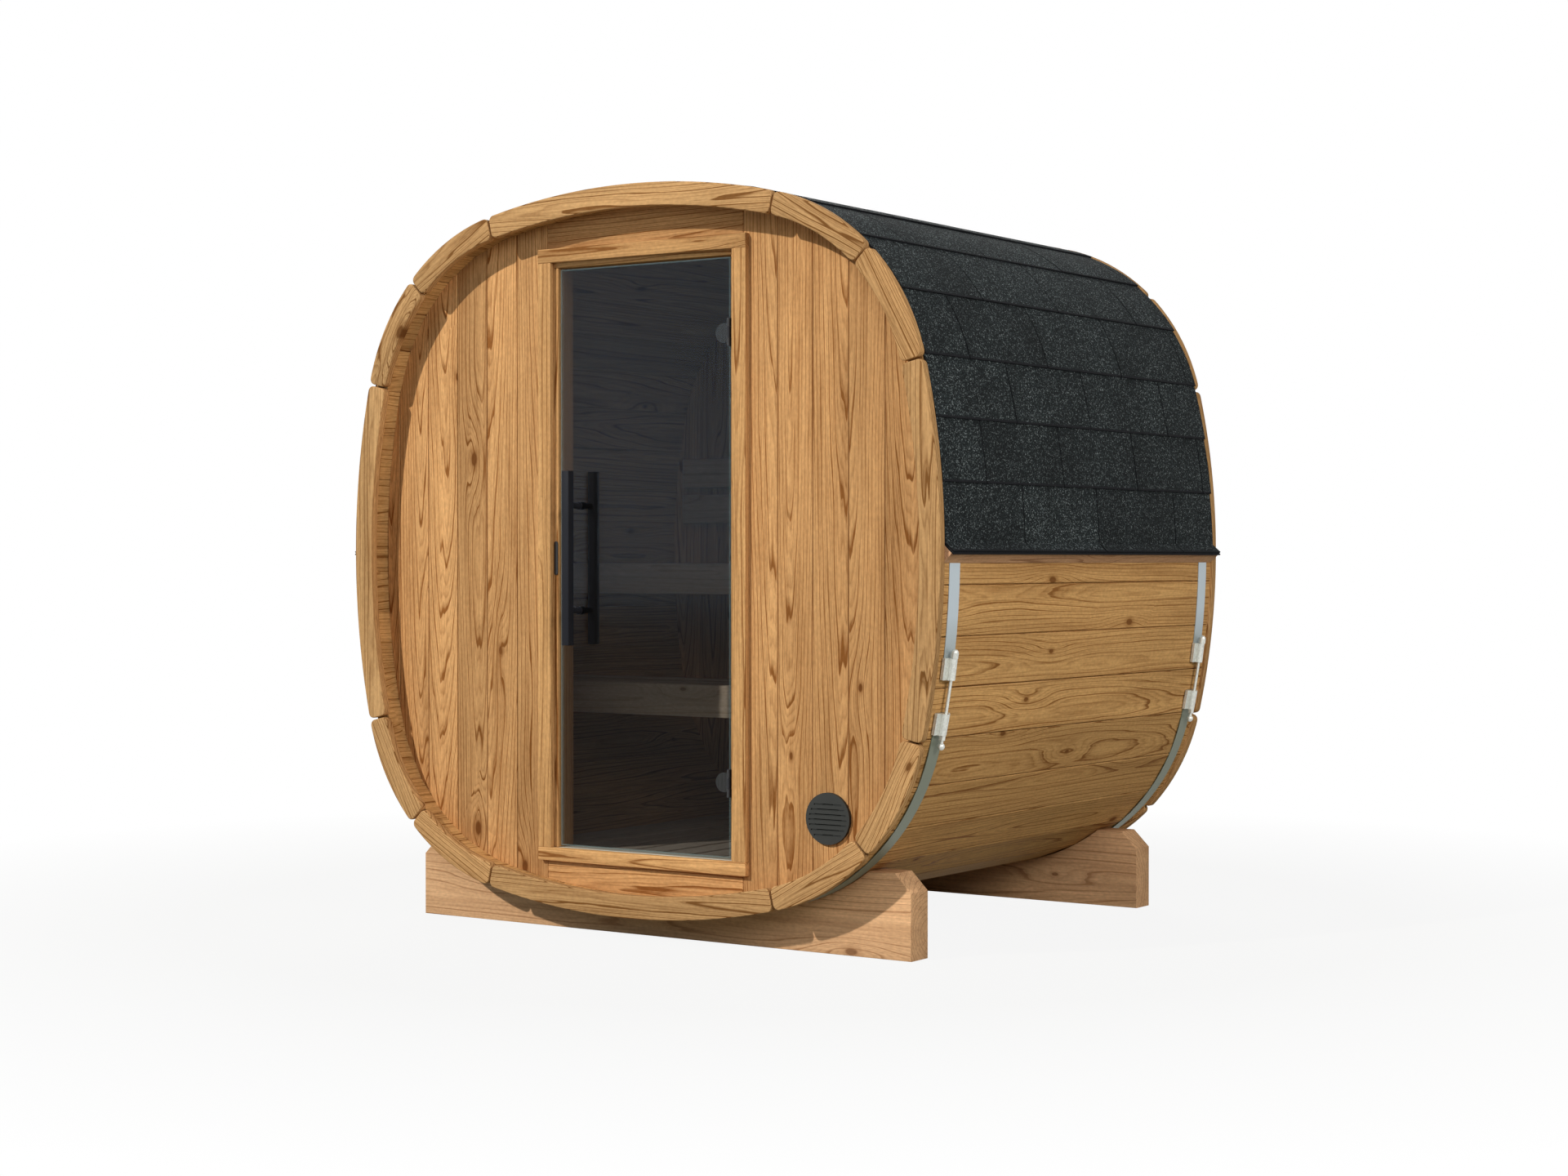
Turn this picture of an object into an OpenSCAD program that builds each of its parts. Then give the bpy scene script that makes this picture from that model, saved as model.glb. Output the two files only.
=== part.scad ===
// Barrel sauna with a framed glass door, standing on two timber cradles.
// Millimetres, +Z up, front towards -Y, origin on the ground under the middle of the barrel.

/* [Barrel] */
// Length over the two end trims
barrel_length = 1650; // [1500:10:2400]
// Width and height over the end trims
barrel_span = 2050; // [1950:10:2200]
// Radius of the four gently curved sides, at the trim's outer edge
side_radius = 2240; // [2000:10:2600]
// Radius of the four rounded corners, at the trim's outer edge
corner_radius = 620; // [580:10:660]
// Thickness of the staves
stave_t = 45; // [28:1:55]
// Height of the trim's underside above the ground
ground_gap = 64; // [40:1:100]

/* [End trim] */
// Thickness of the trim boards, along the barrel
trim_t = 25; // [15:1:40]
// Width of the trim boards, across the ends of the staves
trim_w = 65; // [58:1:90]
// How far the trim stands proud of the staves
trim_proud = 8; // [7:1:20]
// Joint left open between two trim boards
trim_gap = 6; // [3:0.5:12]
// Size of the chamfers on the corners of the trim boards
trim_chamfer = 11; // [6:1:16]

/* [Roof] */
// Thickness of the bitumen shingles
roof_t = 6; // [4:0.5:8]
// Height of the eave battens
batten_h = 50; // [40:1:60]
// How far the eave battens stand out from the staves
batten_w = 28; // [20:1:40]
// Height of the top of the eave battens above the barrel's axis
eave_rise = 19; // [0:1:60]

/* [Bands] */
// Width of the steel bands
band_w = 52; // [30:1:60]
// Thickness of the steel bands
band_t = 2; // [1:0.5:3]
// Distance from the trim's outer face to the near edge of a band
band_inset = 59; // [45:1:62]
// Distance up the barrel's side from its lower corner to the middle of the band clamps
clamp_rise = 126; // [115:1:200]
// Length of a clamp lug
lug_l = 58; // [50:1:66]
// Open distance between the two lugs of a clamp
lug_gap = 88; // [70:1:110]
// Thickness of a lug's base plate
lug_plate_t = 8; // [6:0.5:9]
// How far a lug stands out in front of its band
lug_lead = 9; // [4:0.5:12]
// Diameter of the tube that a lug's bolt runs in
lug_tube_d = 19; // [17:0.5:22]
// Diameter of a clamp's bolt
bolt_d = 9; // [6:0.5:10]
// Diameter of the bolt's domed head
bolt_head_d = 20; // [18:0.5:24]

/* [Cradles] */
// Thickness of the cradle planks, along the barrel
cradle_t = 87; // [60:1:110]
// Width of the cradles
cradle_w = 1720; // [1640:10:1800]
// Height of the upright ends of the cradles
cradle_end_h = 182; // [150:1:220]
// Size of the chamfers on the upper corners of the cradles
cradle_chamfer = 50; // [20:1:70]
// Distance from the trim's outer face to the cradle
cradle_inset = 126; // [120:1:240]

/* [End walls] */
// Distance from the trim's outer face to the wall boards
wall_recess = 82; // [70:1:110]
// Thickness of the wall boards
wall_t = 42; // [30:1:56]
// Height of the wall under the doorway, at the middle
sill_h = 90.5; // [70:0.5:140]
// Height of the wall over the doorway, at the middle
header_h = 115.5; // [80:0.5:200]

/* [Doorway] */
// Width of the glass door
glass_w = 600; // [540:1:700]
// Thickness of the glass
glass_t = 8; // [6:1:10]
// How far the glass lies behind the face of the wall boards
glass_set = 5; // [2:0.5:20]
// Gap around the glass
door_gap = 5.5; // [5.5:0.5:8]
// Thickness of the door's jambs and head
jamb_t = 40; // [30:1:50]
// Depth of the jambs, through the wall
jamb_depth = 68; // [60:1:90]
// Thickness of the threshold
threshold_t = 30; // [20:1:40]
// Thickness of the casing boards
casing_t = 19; // [12:1:24]
// Width of the upright casing boards
casing_w = 47; // [35:1:70]
// Width of the casing board over the door
casing_head_w = 40; // [35:1:70]
// Width of the casing board under the door
casing_foot_w = 38; // [36:1:70]
// Edge of the jamb that shows beside the casing
casing_reveal = 14.5; // [14:0.5:20]

/* [Door fittings] */
// Length of the handle bars
handle_l = 498; // [300:1:700]
// Width of the square handle bars
handle_bar = 25; // [18:0.5:30]
// Distance between the middles of the outer and inner bars
handle_span = 118; // [100:1:120]
// Distance from the glass's free edge to the middle of the handle
handle_inset = 69; // [50:1:120]
// Height of the middle of the handle above the glass's lower edge
handle_rise = 828; // [600:1:1100]
// Distance between the handle's standoffs
standoff_span = 300; // [200:1:420]
// Diameter of the handle's standoffs
standoff_d = 22; // [14:0.5:24]
// Distance from the ends of the glass to the middle of each hinge
hinge_inset = 208; // [120:1:300]
// Height of a hinge
hinge_h = 77; // [60:1:100]
// Diameter of a hinge's knuckles
knuckle_d = 11; // [9:0.5:12]
// Diameter of the disc that grips the glass
hinge_disc_d = 55; // [40:1:60]
// Thickness of the disc that grips the glass
hinge_disc_t = 4; // [2:0.5:8]
// Height of the strike plate
strike_h = 97; // [70:1:120]
// Width of the strike plate
strike_w = 12; // [9:0.5:13]
// Thickness of the strike plate
strike_t = 3; // [2:0.5:5]

/* [Vent] */
// Diameter of the louvred vent cover
vent_d = 140; // [130:1:160]
// Thickness of the vent cover
vent_t = 10; // [8:0.5:14]
// Diameter of the vent's hole through the wall
vent_bore = 110; // [90:1:116]
// Distance from the vent cover's edge to the edge of the wall
vent_edge = 54; // [20:1:120]
// Angle of the vent below the level of the lower corner's centre
vent_angle = 53; // [35:1:60]

/* [Inside] */
// Thickness of the floor, bench and backrest boards
board_t = 28; // [20:1:35]
// Width of the floor and bench boards
board_w = 90; // [70:1:120]
// Gap between the floor and bench boards
board_gap = 12; // [6:1:20]
// Thickness of the timbers that carry the boards
bearer_w = 45; // [30:1:60]
// Height of the timbers that carry the bench boards
bearer_h = 60; // [40:1:62]
// Step down from the threshold to the floor
floor_drop = 12.5; // [0:0.5:20]
// Height of the lower bench above the floor
lower_seat_h = 465; // [380:1:500]
// Depth of the lower bench in front of the upper one
lower_seat_d = 370; // [300:1:420]
// Height of the upper bench above the floor
upper_seat_h = 829; // [760:1:900]
// Depth of the upper bench
upper_seat_d = 576; // [450:1:620]
// Height of the bench fascias and of the backrest's boards
fascia_h = 97; // [90:1:120]
// Gap between the two boards of the backrest
backrest_gap = 25; // [10:1:60]
// Width of the backrest
backrest_w = 1784; // [1200:1:1840]
// Height of the backrest above the upper bench
backrest_rise = 137; // [80:1:200]

/* [Hidden] */
$fn = 64;
// Facets of a full circle for the barrel's large arcs
arc_fn = 480;
// Clearance where curved faces seat on each other
seat_gap = 0.3;
half_span = barrel_span / 2;
side_shift = side_radius - half_span;
centre_step = side_radius - corner_radius;
corner_shift = (sqrt(2 * centre_step ^ 2 - side_shift ^ 2) - side_shift) / 2;
join_angle = atan(corner_shift / (corner_shift + side_shift));
axis_z = ground_gap + half_span;

// Ends of the barrel and of the staves between the trims
front_y = -barrel_length / 2;
rear_y = barrel_length / 2;
stave_y0 = front_y + trim_t;
stave_y1 = rear_y - trim_t;

// Offsets inward from the trim's outer edge
stave_off = trim_proud;
inner_off = trim_proud + stave_t;
wall_off = inner_off + seat_gap;
roof_off = stave_off - seat_gap - roof_t;
band_off = stave_off - seat_gap - band_t;

// Side arcs at the staves' outer face, and the angles that lie on them
stave_side_r = side_radius - stave_off;
eave_angle = asin(eave_rise / stave_side_r);
clamp_angle = arc_angle(clamp_rise, stave_side_r) - join_angle;
lug_angle = arc_angle((lug_gap + lug_l) / 2, stave_side_r);
// Clamp: height of a tube's axis over its band, and the bolt's play, collar, nut and tail
tube_rise = lug_tube_d / 2 + 3;
bolt_play = 1.1;
collar_h = 14;
nut_h = 12;
bolt_tail = 39;
side_stave_angle = join_angle - arc_angle(seat_gap, stave_side_r);
side_trim_angle = join_angle - arc_angle(trim_gap / 2, side_radius);
corner_trim_angle = arc_angle(trim_gap / 2, corner_radius);

// End walls and the doorway's bay
front_wall_y0 = front_y + wall_recess;
front_wall_y1 = front_wall_y0 + wall_t;
rear_wall_y1 = rear_y - wall_recess;
rear_wall_y0 = rear_wall_y1 - wall_t;
inner_bottom = ground_gap + inner_off;
inner_top = ground_gap + barrel_span - inner_off;
bay_bottom = inner_bottom + sill_h;
bay_top = inner_top - header_h;
clear_half = glass_w / 2 + door_gap;
bay_half = clear_half + jamb_t;
clear_bottom = bay_bottom + threshold_t;
clear_top = bay_top - jamb_t;
jamb_y1 = front_wall_y0 + jamb_depth;
casing_y0 = front_wall_y0 - casing_t;
casing_half = clear_half + casing_reveal;
casing_top = clear_top + casing_reveal;

// Glass and its fittings
glass_y0 = front_wall_y0 + glass_set;
glass_y1 = glass_y0 + glass_t;
glass_bottom = clear_bottom + door_gap;
glass_top = clear_top - door_gap;
glass_mid_y = (glass_y0 + glass_y1) / 2;
handle_x = handle_inset - glass_w / 2;
handle_z = glass_bottom + handle_rise;
hinge_gap = 1;
hinge_leaf_t = 2.5;
hinge_x = glass_w / 2 + door_gap / 2;
hinge_y = front_wall_y0 - hinge_leaf_t + hinge_gap - knuckle_d / 2;
hinge_zs = [glass_bottom + hinge_inset, glass_top - hinge_inset];
// Heights at which a hinge's knuckles part, from its middle
knuckle_part = hinge_h * 0.2;
hinge_arm_t = 2;
hinge_disc_x = glass_w / 2 - hinge_disc_d / 2 - 1;

// Floor and benches
floor_z = clear_bottom - floor_drop;
floor_y0 = jamb_y1 + seat_gap;
upper_y0 = rear_wall_y0 - upper_seat_d;
lower_y0 = upper_y0 - lower_seat_d;
backrest_z0 = floor_z + upper_seat_h + backrest_rise;

// Vent: its place, from the barrel's axis, and its louvres
vent_swing = corner_radius - wall_off - vent_edge - vent_d / 2;
vent_x = corner_shift + vent_swing * cos(vent_angle);
vent_drop = corner_shift + vent_swing * sin(vent_angle);
louvre_pitch = vent_bore / 8;
louvre_h = louvre_pitch * 0.3;
louvre_tilt = 35;
louvre_rim = 14;
louvre_groove = 3;
spigot_t = 3;

timber = "burlywood";
pale_timber = "wheat";
inner_timber = "tan";

function arc_angle(len, r) = len / r * 180 / PI;
function polar(r, a) = [r * cos(a), r * sin(a)];

// Half-width of the barrel's section at a height, a given offset inside the trim's edge
function section_half(off, z) =
    let(
        h = abs(z - axis_z),
        side_r = side_radius - off,
        corner_r = corner_radius - off
    )
    h < corner_shift + corner_r * sin(join_angle) ? sqrt(side_r ^ 2 - h ^ 2) - side_shift
    : h < corner_shift + corner_r * cos(join_angle)
        ? corner_shift + sqrt(corner_r ^ 2 - (h - corner_shift) ^ 2)
        : sqrt(side_r ^ 2 - (h + side_shift) ^ 2);

module slab(x0, x1, y0, y1, z0, z1) {
    translate([x0, y0, z0]) cube([x1 - x0, y1 - y0, z1 - z0]);
}

// A flat outline in X and Z, carried from y0 to y1
module along_barrel(y0, y1) {
    translate([0, y1, 0]) rotate([90, 0, 0]) linear_extrude(y1 - y0) children();
}

// A curved board about the Y axis, from angle a0 to a1
module curved_board(r_in, r_out, a0, a1, y0, y1) {
    rotate([90, 0, 0]) rotate([0, 0, a0]) rotate_extrude(angle = a1 - a0, $fn = arc_fn)
        translate([r_in, -y1]) square([r_out - r_in, y1 - y0]);
}

// Quarter 0 is the right side or the upper right corner, and the others follow anticlockwise
module quarter(k) {
    translate([0, 0, axis_z]) rotate([0, -90 * k, 0]) children();
}

module side_board(k, off_out, off_in, a0, a1, y0, y1) {
    quarter(k) translate([-side_shift, 0, 0])
        curved_board(side_radius - off_in, side_radius - off_out, a0, a1, y0, y1);
}

module corner_board(k, off_out, off_in, a0, a1, y0, y1) {
    quarter(k) translate([corner_shift, 0, corner_shift])
        curved_board(corner_radius - off_in, corner_radius - off_out, a0, a1, y0, y1);
}

// Local frame on the right side's arc: X is the distance from the arc's centre, Z runs up the side
module on_side(angle) {
    translate([-side_shift, 0, axis_z]) rotate([0, -angle, 0]) children();
}

// The barrel's closed section, a given offset inside the trim's edge
module barrel_section(off) {
    reach = 2 * side_radius / (corner_shift + side_shift);
    far_x = (corner_shift + side_shift) * reach - side_shift;
    far_z = corner_shift * reach;
    mid_z = corner_shift * side_shift / (corner_shift + side_shift);
    square(2 * corner_shift, center = true);
    for (k = [0:3]) rotate(90 * k) {
        intersection() {
            translate([-side_shift, 0]) circle(side_radius - off, $fn = arc_fn);
            polygon([[0, -mid_z], [far_x, -far_z], [far_x, far_z], [0, mid_z]]);
        }
        translate([corner_shift, corner_shift]) circle(corner_radius - off, $fn = arc_fn);
    }
}

module barrel_plate(off, y0, y1) {
    along_barrel(y0, y1) translate([0, axis_z]) barrel_section(off);
}

// Staves, in four side panels and four corner panels
module stave_side(k) {
    color(timber)
        side_board(k, stave_off, inner_off, -side_stave_angle, side_stave_angle, stave_y0, stave_y1);
}
module stave_corner(k) {
    color(timber) corner_board(k, stave_off, inner_off, join_angle, 90 - join_angle, stave_y0, stave_y1);
}
module barrel_right() { stave_side(0); }
module barrel_top() { stave_side(1); }
module barrel_left() { stave_side(2); }
module barrel_bottom() { stave_side(3); }
module barrel_upper_right() { stave_corner(0); }
module barrel_upper_left() { stave_corner(1); }
module barrel_lower_left() { stave_corner(2); }
module barrel_lower_right() { stave_corner(3); }

// Chamfers for the four corners of a curved board about the Y axis
module board_corners(r_in, r_out, a0, a1, y0, y1) {
    block = 3 * trim_chamfer;
    for (end = [-1, 1], edge = [-1, 1])
        rotate([0, end < 0 ? -a0 : -a1, 0]) translate([edge < 0 ? r_in : r_out, y0 - 1, 0])
            rotate([0, -atan2(end, edge), 0]) translate([-trim_chamfer / sqrt(2), 0, -block / 2])
                cube([block, y1 - y0 + 2, block]);
}

module side_trim(k, y0, y1) {
    difference() {
        side_board(k, 0, trim_w, -side_trim_angle, side_trim_angle, y0, y1);
        quarter(k) translate([-side_shift, 0, 0])
            board_corners(side_radius - trim_w, side_radius, -side_trim_angle, side_trim_angle, y0, y1);
    }
}

module corner_trim(k, a0, a1, y0, y1) {
    difference() {
        corner_board(k, 0, trim_w, a0, a1, y0, y1);
        quarter(k) translate([corner_shift, 0, corner_shift])
            board_corners(corner_radius - trim_w, corner_radius, a0, a1, y0, y1);
    }
}

// Trim of one end: a board on each side and two on each corner
module end_trim(y0) {
    y1 = y0 + trim_t;
    spans = [
        [join_angle + corner_trim_angle, 45 - corner_trim_angle],
        [45 + corner_trim_angle, 90 - join_angle - corner_trim_angle]
    ];
    color(timber) for (k = [0:3]) {
        side_trim(k, y0, y1);
        for (span = spans) corner_trim(k, span[0], span[1], y0, y1);
    }
}
module front_trim() { end_trim(front_y); }
module rear_trim() { end_trim(rear_y - trim_t); }

// Shingles of the right slope, flared out over the eave batten
module roof_slope() {
    inner_r = stave_side_r + 2 * seat_gap;
    outer_r = inner_r + roof_t - 2 * seat_gap;
    lift = roof_t / norm([batten_w, batten_h / 2]);
    ridge = polar(side_radius, 90 - join_angle);
    color("dimgray") {
        difference() {
            barrel_plate(roof_off, stave_y0, stave_y1);
            barrel_plate(roof_off + roof_t, stave_y0 - 1, stave_y1 + 1);
            on_side(eave_angle)
                slab(-side_radius, 2 * side_radius, stave_y0 - 1, stave_y1 + 1, -2 * side_radius, 0);
            along_barrel(stave_y0 - 1, stave_y1 + 1) translate([0, axis_z - side_shift])
                polygon([[0, 0], 2 * ridge, [-2 * side_radius, 2 * ridge[1]], [-2 * side_radius, 0]]);
        }
        on_side(eave_angle) along_barrel(stave_y0, stave_y1) polygon([
            [inner_r, roof_t],
            [inner_r, 0],
            [inner_r + batten_w, -batten_h / 2],
            [inner_r + batten_w + lift * batten_h / 2, -batten_h / 2 + lift * batten_w],
            [outer_r, 0],
            [outer_r, roof_t]
        ]);
    }
}
module roof_right() { roof_slope(); }
module roof_left() { mirror([1, 0, 0]) roof_slope(); }
module roof_ridge() {
    color("dimgray")
        side_board(1, roof_off, roof_off + roof_t, -join_angle, join_angle, stave_y0, stave_y1);
}

// Three-sided batten under the shingles' lower edge
module eave_batten() {
    r0 = stave_side_r + seat_gap;
    color(timber) on_side(eave_angle) along_barrel(stave_y0, stave_y1)
        polygon([[r0, 0], [r0, -batten_h], [r0 + batten_w, -batten_h / 2]]);
}
module eave_batten_right() { eave_batten(); }
module eave_batten_left() { mirror([1, 0, 0]) eave_batten(); }

// Steel band from eave to eave under the barrel, parted at the clamp on the right
module band(y0) {
    y1 = y0 + band_w;
    top_z = axis_z + eave_rise - batten_h;
    color("lightsteelblue") difference() {
        barrel_plate(band_off, y0, y1);
        barrel_plate(band_off + band_t, y0 - 1, y1 + 1);
        slab(-half_span, half_span, y0 - 1, y1 + 1, top_z, top_z + barrel_span);
        on_side(clamp_angle) translate([corner_radius, y0 - 1, -lug_gap / 2])
            cube([side_radius, band_w + 2, lug_gap]);
    }
}
module front_band() { band(front_y + band_inset); }
module rear_band() { band(rear_y - band_inset - band_w); }

// Clamp lug: a base plate on the band, a raised block on it and a tube for the bolt
module clamp_lug(angle, mid_y, bolt_r) {
    seat_r = stave_side_r + seat_gap + band_t + seat_gap;
    tube_r = bolt_r / cos(lug_angle);
    block_t = tube_r + lug_tube_d * 0.08 - seat_r;
    block_w = lug_tube_d * 1.9;
    difference() {
        on_side(angle) translate([0, mid_y, -lug_l / 2]) {
            translate([seat_r, -band_w / 2 - lug_lead, 0]) cube([lug_plate_t, band_w + lug_lead, lug_l]);
            translate([seat_r, -block_w / 2, 0]) cube([block_t, block_w, lug_l]);
            translate([tube_r, 0, 0]) cylinder(d = lug_tube_d, h = lug_l);
        }
        on_side(clamp_angle) translate([bolt_r, mid_y, -2 * lug_l - lug_gap])
            cylinder(d = bolt_d + 2 * seat_gap, h = 4 * lug_l + 2 * lug_gap);
    }
}

// Bolt with a collar and dome over the upper lug, and a nut and domed end under the lower one
module clamp_bolt(mid_y, bolt_r) {
    reach = lug_gap / 2 + lug_l + bolt_play;
    nut_d = bolt_head_d - 2;
    tail_z = bolt_head_d / 2 - reach - bolt_tail;
    on_side(clamp_angle) translate([bolt_r, mid_y, 0]) {
        translate([0, 0, tail_z]) cylinder(d = bolt_d, h = reach - tail_z + 1);
        translate([0, 0, reach]) cylinder(d = bolt_head_d + 1, h = collar_h);
        translate([0, 0, reach + collar_h]) intersection() {
            sphere(d = bolt_head_d);
            translate([0, 0, -1]) cylinder(d = 2 * bolt_head_d, h = bolt_head_d);
        }
        translate([0, 0, -reach - nut_h]) cylinder(d = nut_d, h = nut_h, $fn = 6);
        translate([0, 0, tail_z]) sphere(d = bolt_head_d);
    }
}

module band_clamp(mid_y) {
    bolt_r = stave_side_r + band_t + tube_rise;
    color("silver") {
        clamp_lug(clamp_angle + lug_angle, mid_y, bolt_r);
        clamp_lug(clamp_angle - lug_angle, mid_y, bolt_r);
        clamp_bolt(mid_y, bolt_r);
    }
}
module front_band_clamp() { band_clamp(front_y + band_inset + band_w / 2); }
module rear_band_clamp() { band_clamp(rear_y - band_inset - band_w / 2); }

// Cradle plank with chamfered ends, hollowed to the barrel
module cradle(y0) {
    half_w = cradle_w / 2;
    top_z = cradle_end_h + cradle_chamfer;
    color(pale_timber) difference() {
        along_barrel(y0, y0 + cradle_t) polygon([
            [-half_w, 0],
            [half_w, 0],
            [half_w, cradle_end_h],
            [half_w - cradle_chamfer, top_z],
            [cradle_chamfer - half_w, top_z],
            [-half_w, cradle_end_h]
        ]);
        barrel_plate(stave_off - seat_gap, y0 - 1, y0 + cradle_t + 1);
    }
}
module front_cradle() { cradle(front_y + cradle_inset); }
module rear_cradle() { cradle(rear_y - cradle_inset - cradle_t); }

// Front wall in four panels round the doorway
module front_wall_panel(x0, x1, z0, z1) {
    color(timber) intersection() {
        barrel_plate(wall_off, front_wall_y0, front_wall_y1);
        slab(x0, x1, front_wall_y0 - 1, front_wall_y1 + 1, z0, z1);
    }
}
module front_wall_left() { front_wall_panel(-half_span, -bay_half, ground_gap, ground_gap + barrel_span); }
module front_wall_header() { front_wall_panel(-bay_half, bay_half, bay_top, ground_gap + barrel_span); }
module front_wall_sill() { front_wall_panel(-bay_half, bay_half, ground_gap, bay_bottom); }
module front_wall_right() {
    difference() {
        front_wall_panel(bay_half, half_span, ground_gap, ground_gap + barrel_span);
        translate([vent_x, front_wall_y1 + 1, axis_z - vent_drop]) rotate([90, 0, 0])
            cylinder(d = vent_bore, h = wall_t + 2);
    }
}
module rear_wall() {
    color(timber) barrel_plate(wall_off, rear_wall_y0, rear_wall_y1);
}

// Casing boards on the wall's face: the head and foot run over the ends of the uprights
module casing_upright(side) {
    x0 = side < 0 ? -casing_half - casing_w : casing_half;
    color(timber) slab(x0, x0 + casing_w, casing_y0, front_wall_y0, clear_bottom, casing_top);
}
module casing_cross(z0, z1) {
    half_w = casing_half + casing_w;
    color(timber) slab(-half_w, half_w, casing_y0, front_wall_y0, z0, z1);
}
module casing_left() { casing_upright(-1); }
module casing_right() { casing_upright(1); }
module casing_head() { casing_cross(casing_top, casing_top + casing_head_w); }
module casing_foot() { casing_cross(clear_bottom - casing_foot_w, clear_bottom); }

// Jambs between the head and the threshold, through the wall
module jamb(side) {
    x0 = side < 0 ? -bay_half : clear_half;
    color(timber) slab(x0, x0 + jamb_t, front_wall_y0, jamb_y1, clear_bottom, clear_top);
}
module jamb_left() { jamb(-1); }
module jamb_right() { jamb(1); }
module jamb_head() {
    color(timber) slab(-bay_half, bay_half, front_wall_y0, jamb_y1, clear_top, bay_top);
}
module threshold() {
    color(timber) slab(-bay_half, bay_half, front_wall_y0, jamb_y1, bay_bottom, clear_bottom);
}

// Glass door
module door_glass() {
    color("dimgray", 0.6) slab(-glass_w / 2, glass_w / 2, glass_y0, glass_y1, glass_bottom, glass_top);
}

// Square bar on two round standoffs, from the glass face at seat_y
module handle(bar_y, seat_y) {
    half_bar = handle_bar / 2;
    color("darkslategray") {
        slab(handle_x - half_bar, handle_x + half_bar, bar_y - half_bar, bar_y + half_bar,
            handle_z - handle_l / 2, handle_z + handle_l / 2);
        for (z = [-standoff_span / 2, standoff_span / 2])
            translate([handle_x, max(bar_y, seat_y), handle_z + z]) rotate([90, 0, 0])
                cylinder(d = standoff_d, h = abs(bar_y - seat_y));
    }
}
module outer_handle() { handle(glass_mid_y - handle_span / 2, glass_y0); }
module inner_handle() { handle(glass_mid_y + handle_span / 2, glass_y1); }

// Middle knuckles, each with an arm round the glass's edge to a disc on its inner face
module glass_hinges() {
    arm_x = hinge_x - hinge_arm_t / 2;
    arm_half = knuckle_part - hinge_gap / 2;
    arm_y1 = glass_y1 + hinge_disc_t;
    color("darkslategray") for (z = hinge_zs) {
        translate([hinge_x, hinge_y, z - arm_half]) cylinder(d = knuckle_d, h = 2 * arm_half);
        slab(arm_x, arm_x + hinge_arm_t, hinge_y, arm_y1, z - arm_half, z + arm_half);
        slab(hinge_disc_x, arm_x + hinge_arm_t, glass_y1, arm_y1, z - arm_half, z + arm_half);
        translate([hinge_disc_x, arm_y1, z]) rotate([90, 0, 0])
            cylinder(d = hinge_disc_d, h = hinge_disc_t);
    }
}

// Outer knuckles, on leaves screwed to the edge of the right jamb
module frame_hinges() {
    knuckle_l = hinge_h / 2 - knuckle_part - hinge_gap / 2;
    leaf_x1 = casing_half - hinge_gap;
    leaf_y0 = front_wall_y0 - hinge_leaf_t;
    color("darkslategray") for (z = hinge_zs) {
        for (z0 = [z - hinge_h / 2, z + hinge_h / 2 - knuckle_l]) {
            translate([hinge_x, hinge_y, z0]) cylinder(d = knuckle_d, h = knuckle_l);
            slab(hinge_x, leaf_x1, leaf_y0, front_wall_y0, z0, z0 + knuckle_l);
        }
        slab(clear_half + knuckle_d / 2, leaf_x1, leaf_y0, front_wall_y0, z - hinge_h / 2, z + hinge_h / 2);
    }
}

// Strike plate with round ends on the edge of the left jamb
module strike_plate() {
    mid_x = -clear_half - casing_reveal / 2;
    straight = strike_h - strike_w;
    color("darkslategray") translate([mid_x, front_wall_y0, handle_z]) rotate([90, 0, 0]) {
        translate([-strike_w / 2, -straight / 2, 0]) cube([strike_w, straight, strike_t]);
        for (z = [-straight / 2, straight / 2])
            translate([0, z, 0]) cylinder(d = strike_w, h = strike_t);
    }
}

// Round vent cover with tilted louvres that run out as grooves, and a collar into the wall
module vent_cover() {
    collar_d = vent_bore - 2 * seat_gap;
    field_r = collar_d / 2 - spigot_t - louvre_rim / 2;
    groove_r = vent_d * 0.43;
    color("dimgray") translate([vent_x, front_wall_y0, axis_z - vent_drop]) rotate([90, 0, 0]) {
        difference() {
            union() {
                cylinder(d = vent_d, h = vent_t);
                translate([0, 0, -wall_t]) cylinder(d = collar_d, h = wall_t);
            }
            translate([0, 0, -wall_t - 1]) cylinder(d = collar_d - 2 * spigot_t, h = wall_t + 1);
            for (i = [-3:3]) {
                rise = i * louvre_pitch;
                translate([0, rise, vent_t / 2]) rotate([louvre_tilt, 0, 0])
                    cube([2 * sqrt(field_r ^ 2 - rise ^ 2), louvre_h, 1.6 * vent_t], center = true);
                translate([0, rise - vent_t / 2 * tan(louvre_tilt), vent_t])
                    cube([2 * sqrt(groove_r ^ 2 - rise ^ 2), louvre_h, 2 * louvre_groove], center = true);
            }
        }
    }
}

// Boards side by side from a to b, as whole boards with equal gaps
function board_count(a, b) = floor((b - a + board_gap) / (board_w + board_gap));
function board_pitch(a, b) = (b - a - board_w) / (board_count(a, b) - 1);

// Floor boards along the barrel, on bearers cut to its curve
module floor_deck() {
    under = floor_z - board_t;
    half_w = section_half(wall_off, under);
    count = board_count(-half_w, half_w);
    pitch = board_pitch(-half_w, half_w);
    bearer_ys = [floor_y0, (floor_y0 + rear_wall_y0 - bearer_w) / 2, rear_wall_y0 - bearer_w];
    color(inner_timber) {
        for (i = [0:count - 1])
            slab(i * pitch - half_w, i * pitch - half_w + board_w, floor_y0, rear_wall_y0, under, floor_z);
        for (y = bearer_ys) intersection() {
            barrel_plate(wall_off, y, y + bearer_w);
            slab(-half_w, half_w, y - 1, y + bearer_w + 1, ground_gap, under);
        }
    }
}

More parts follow.
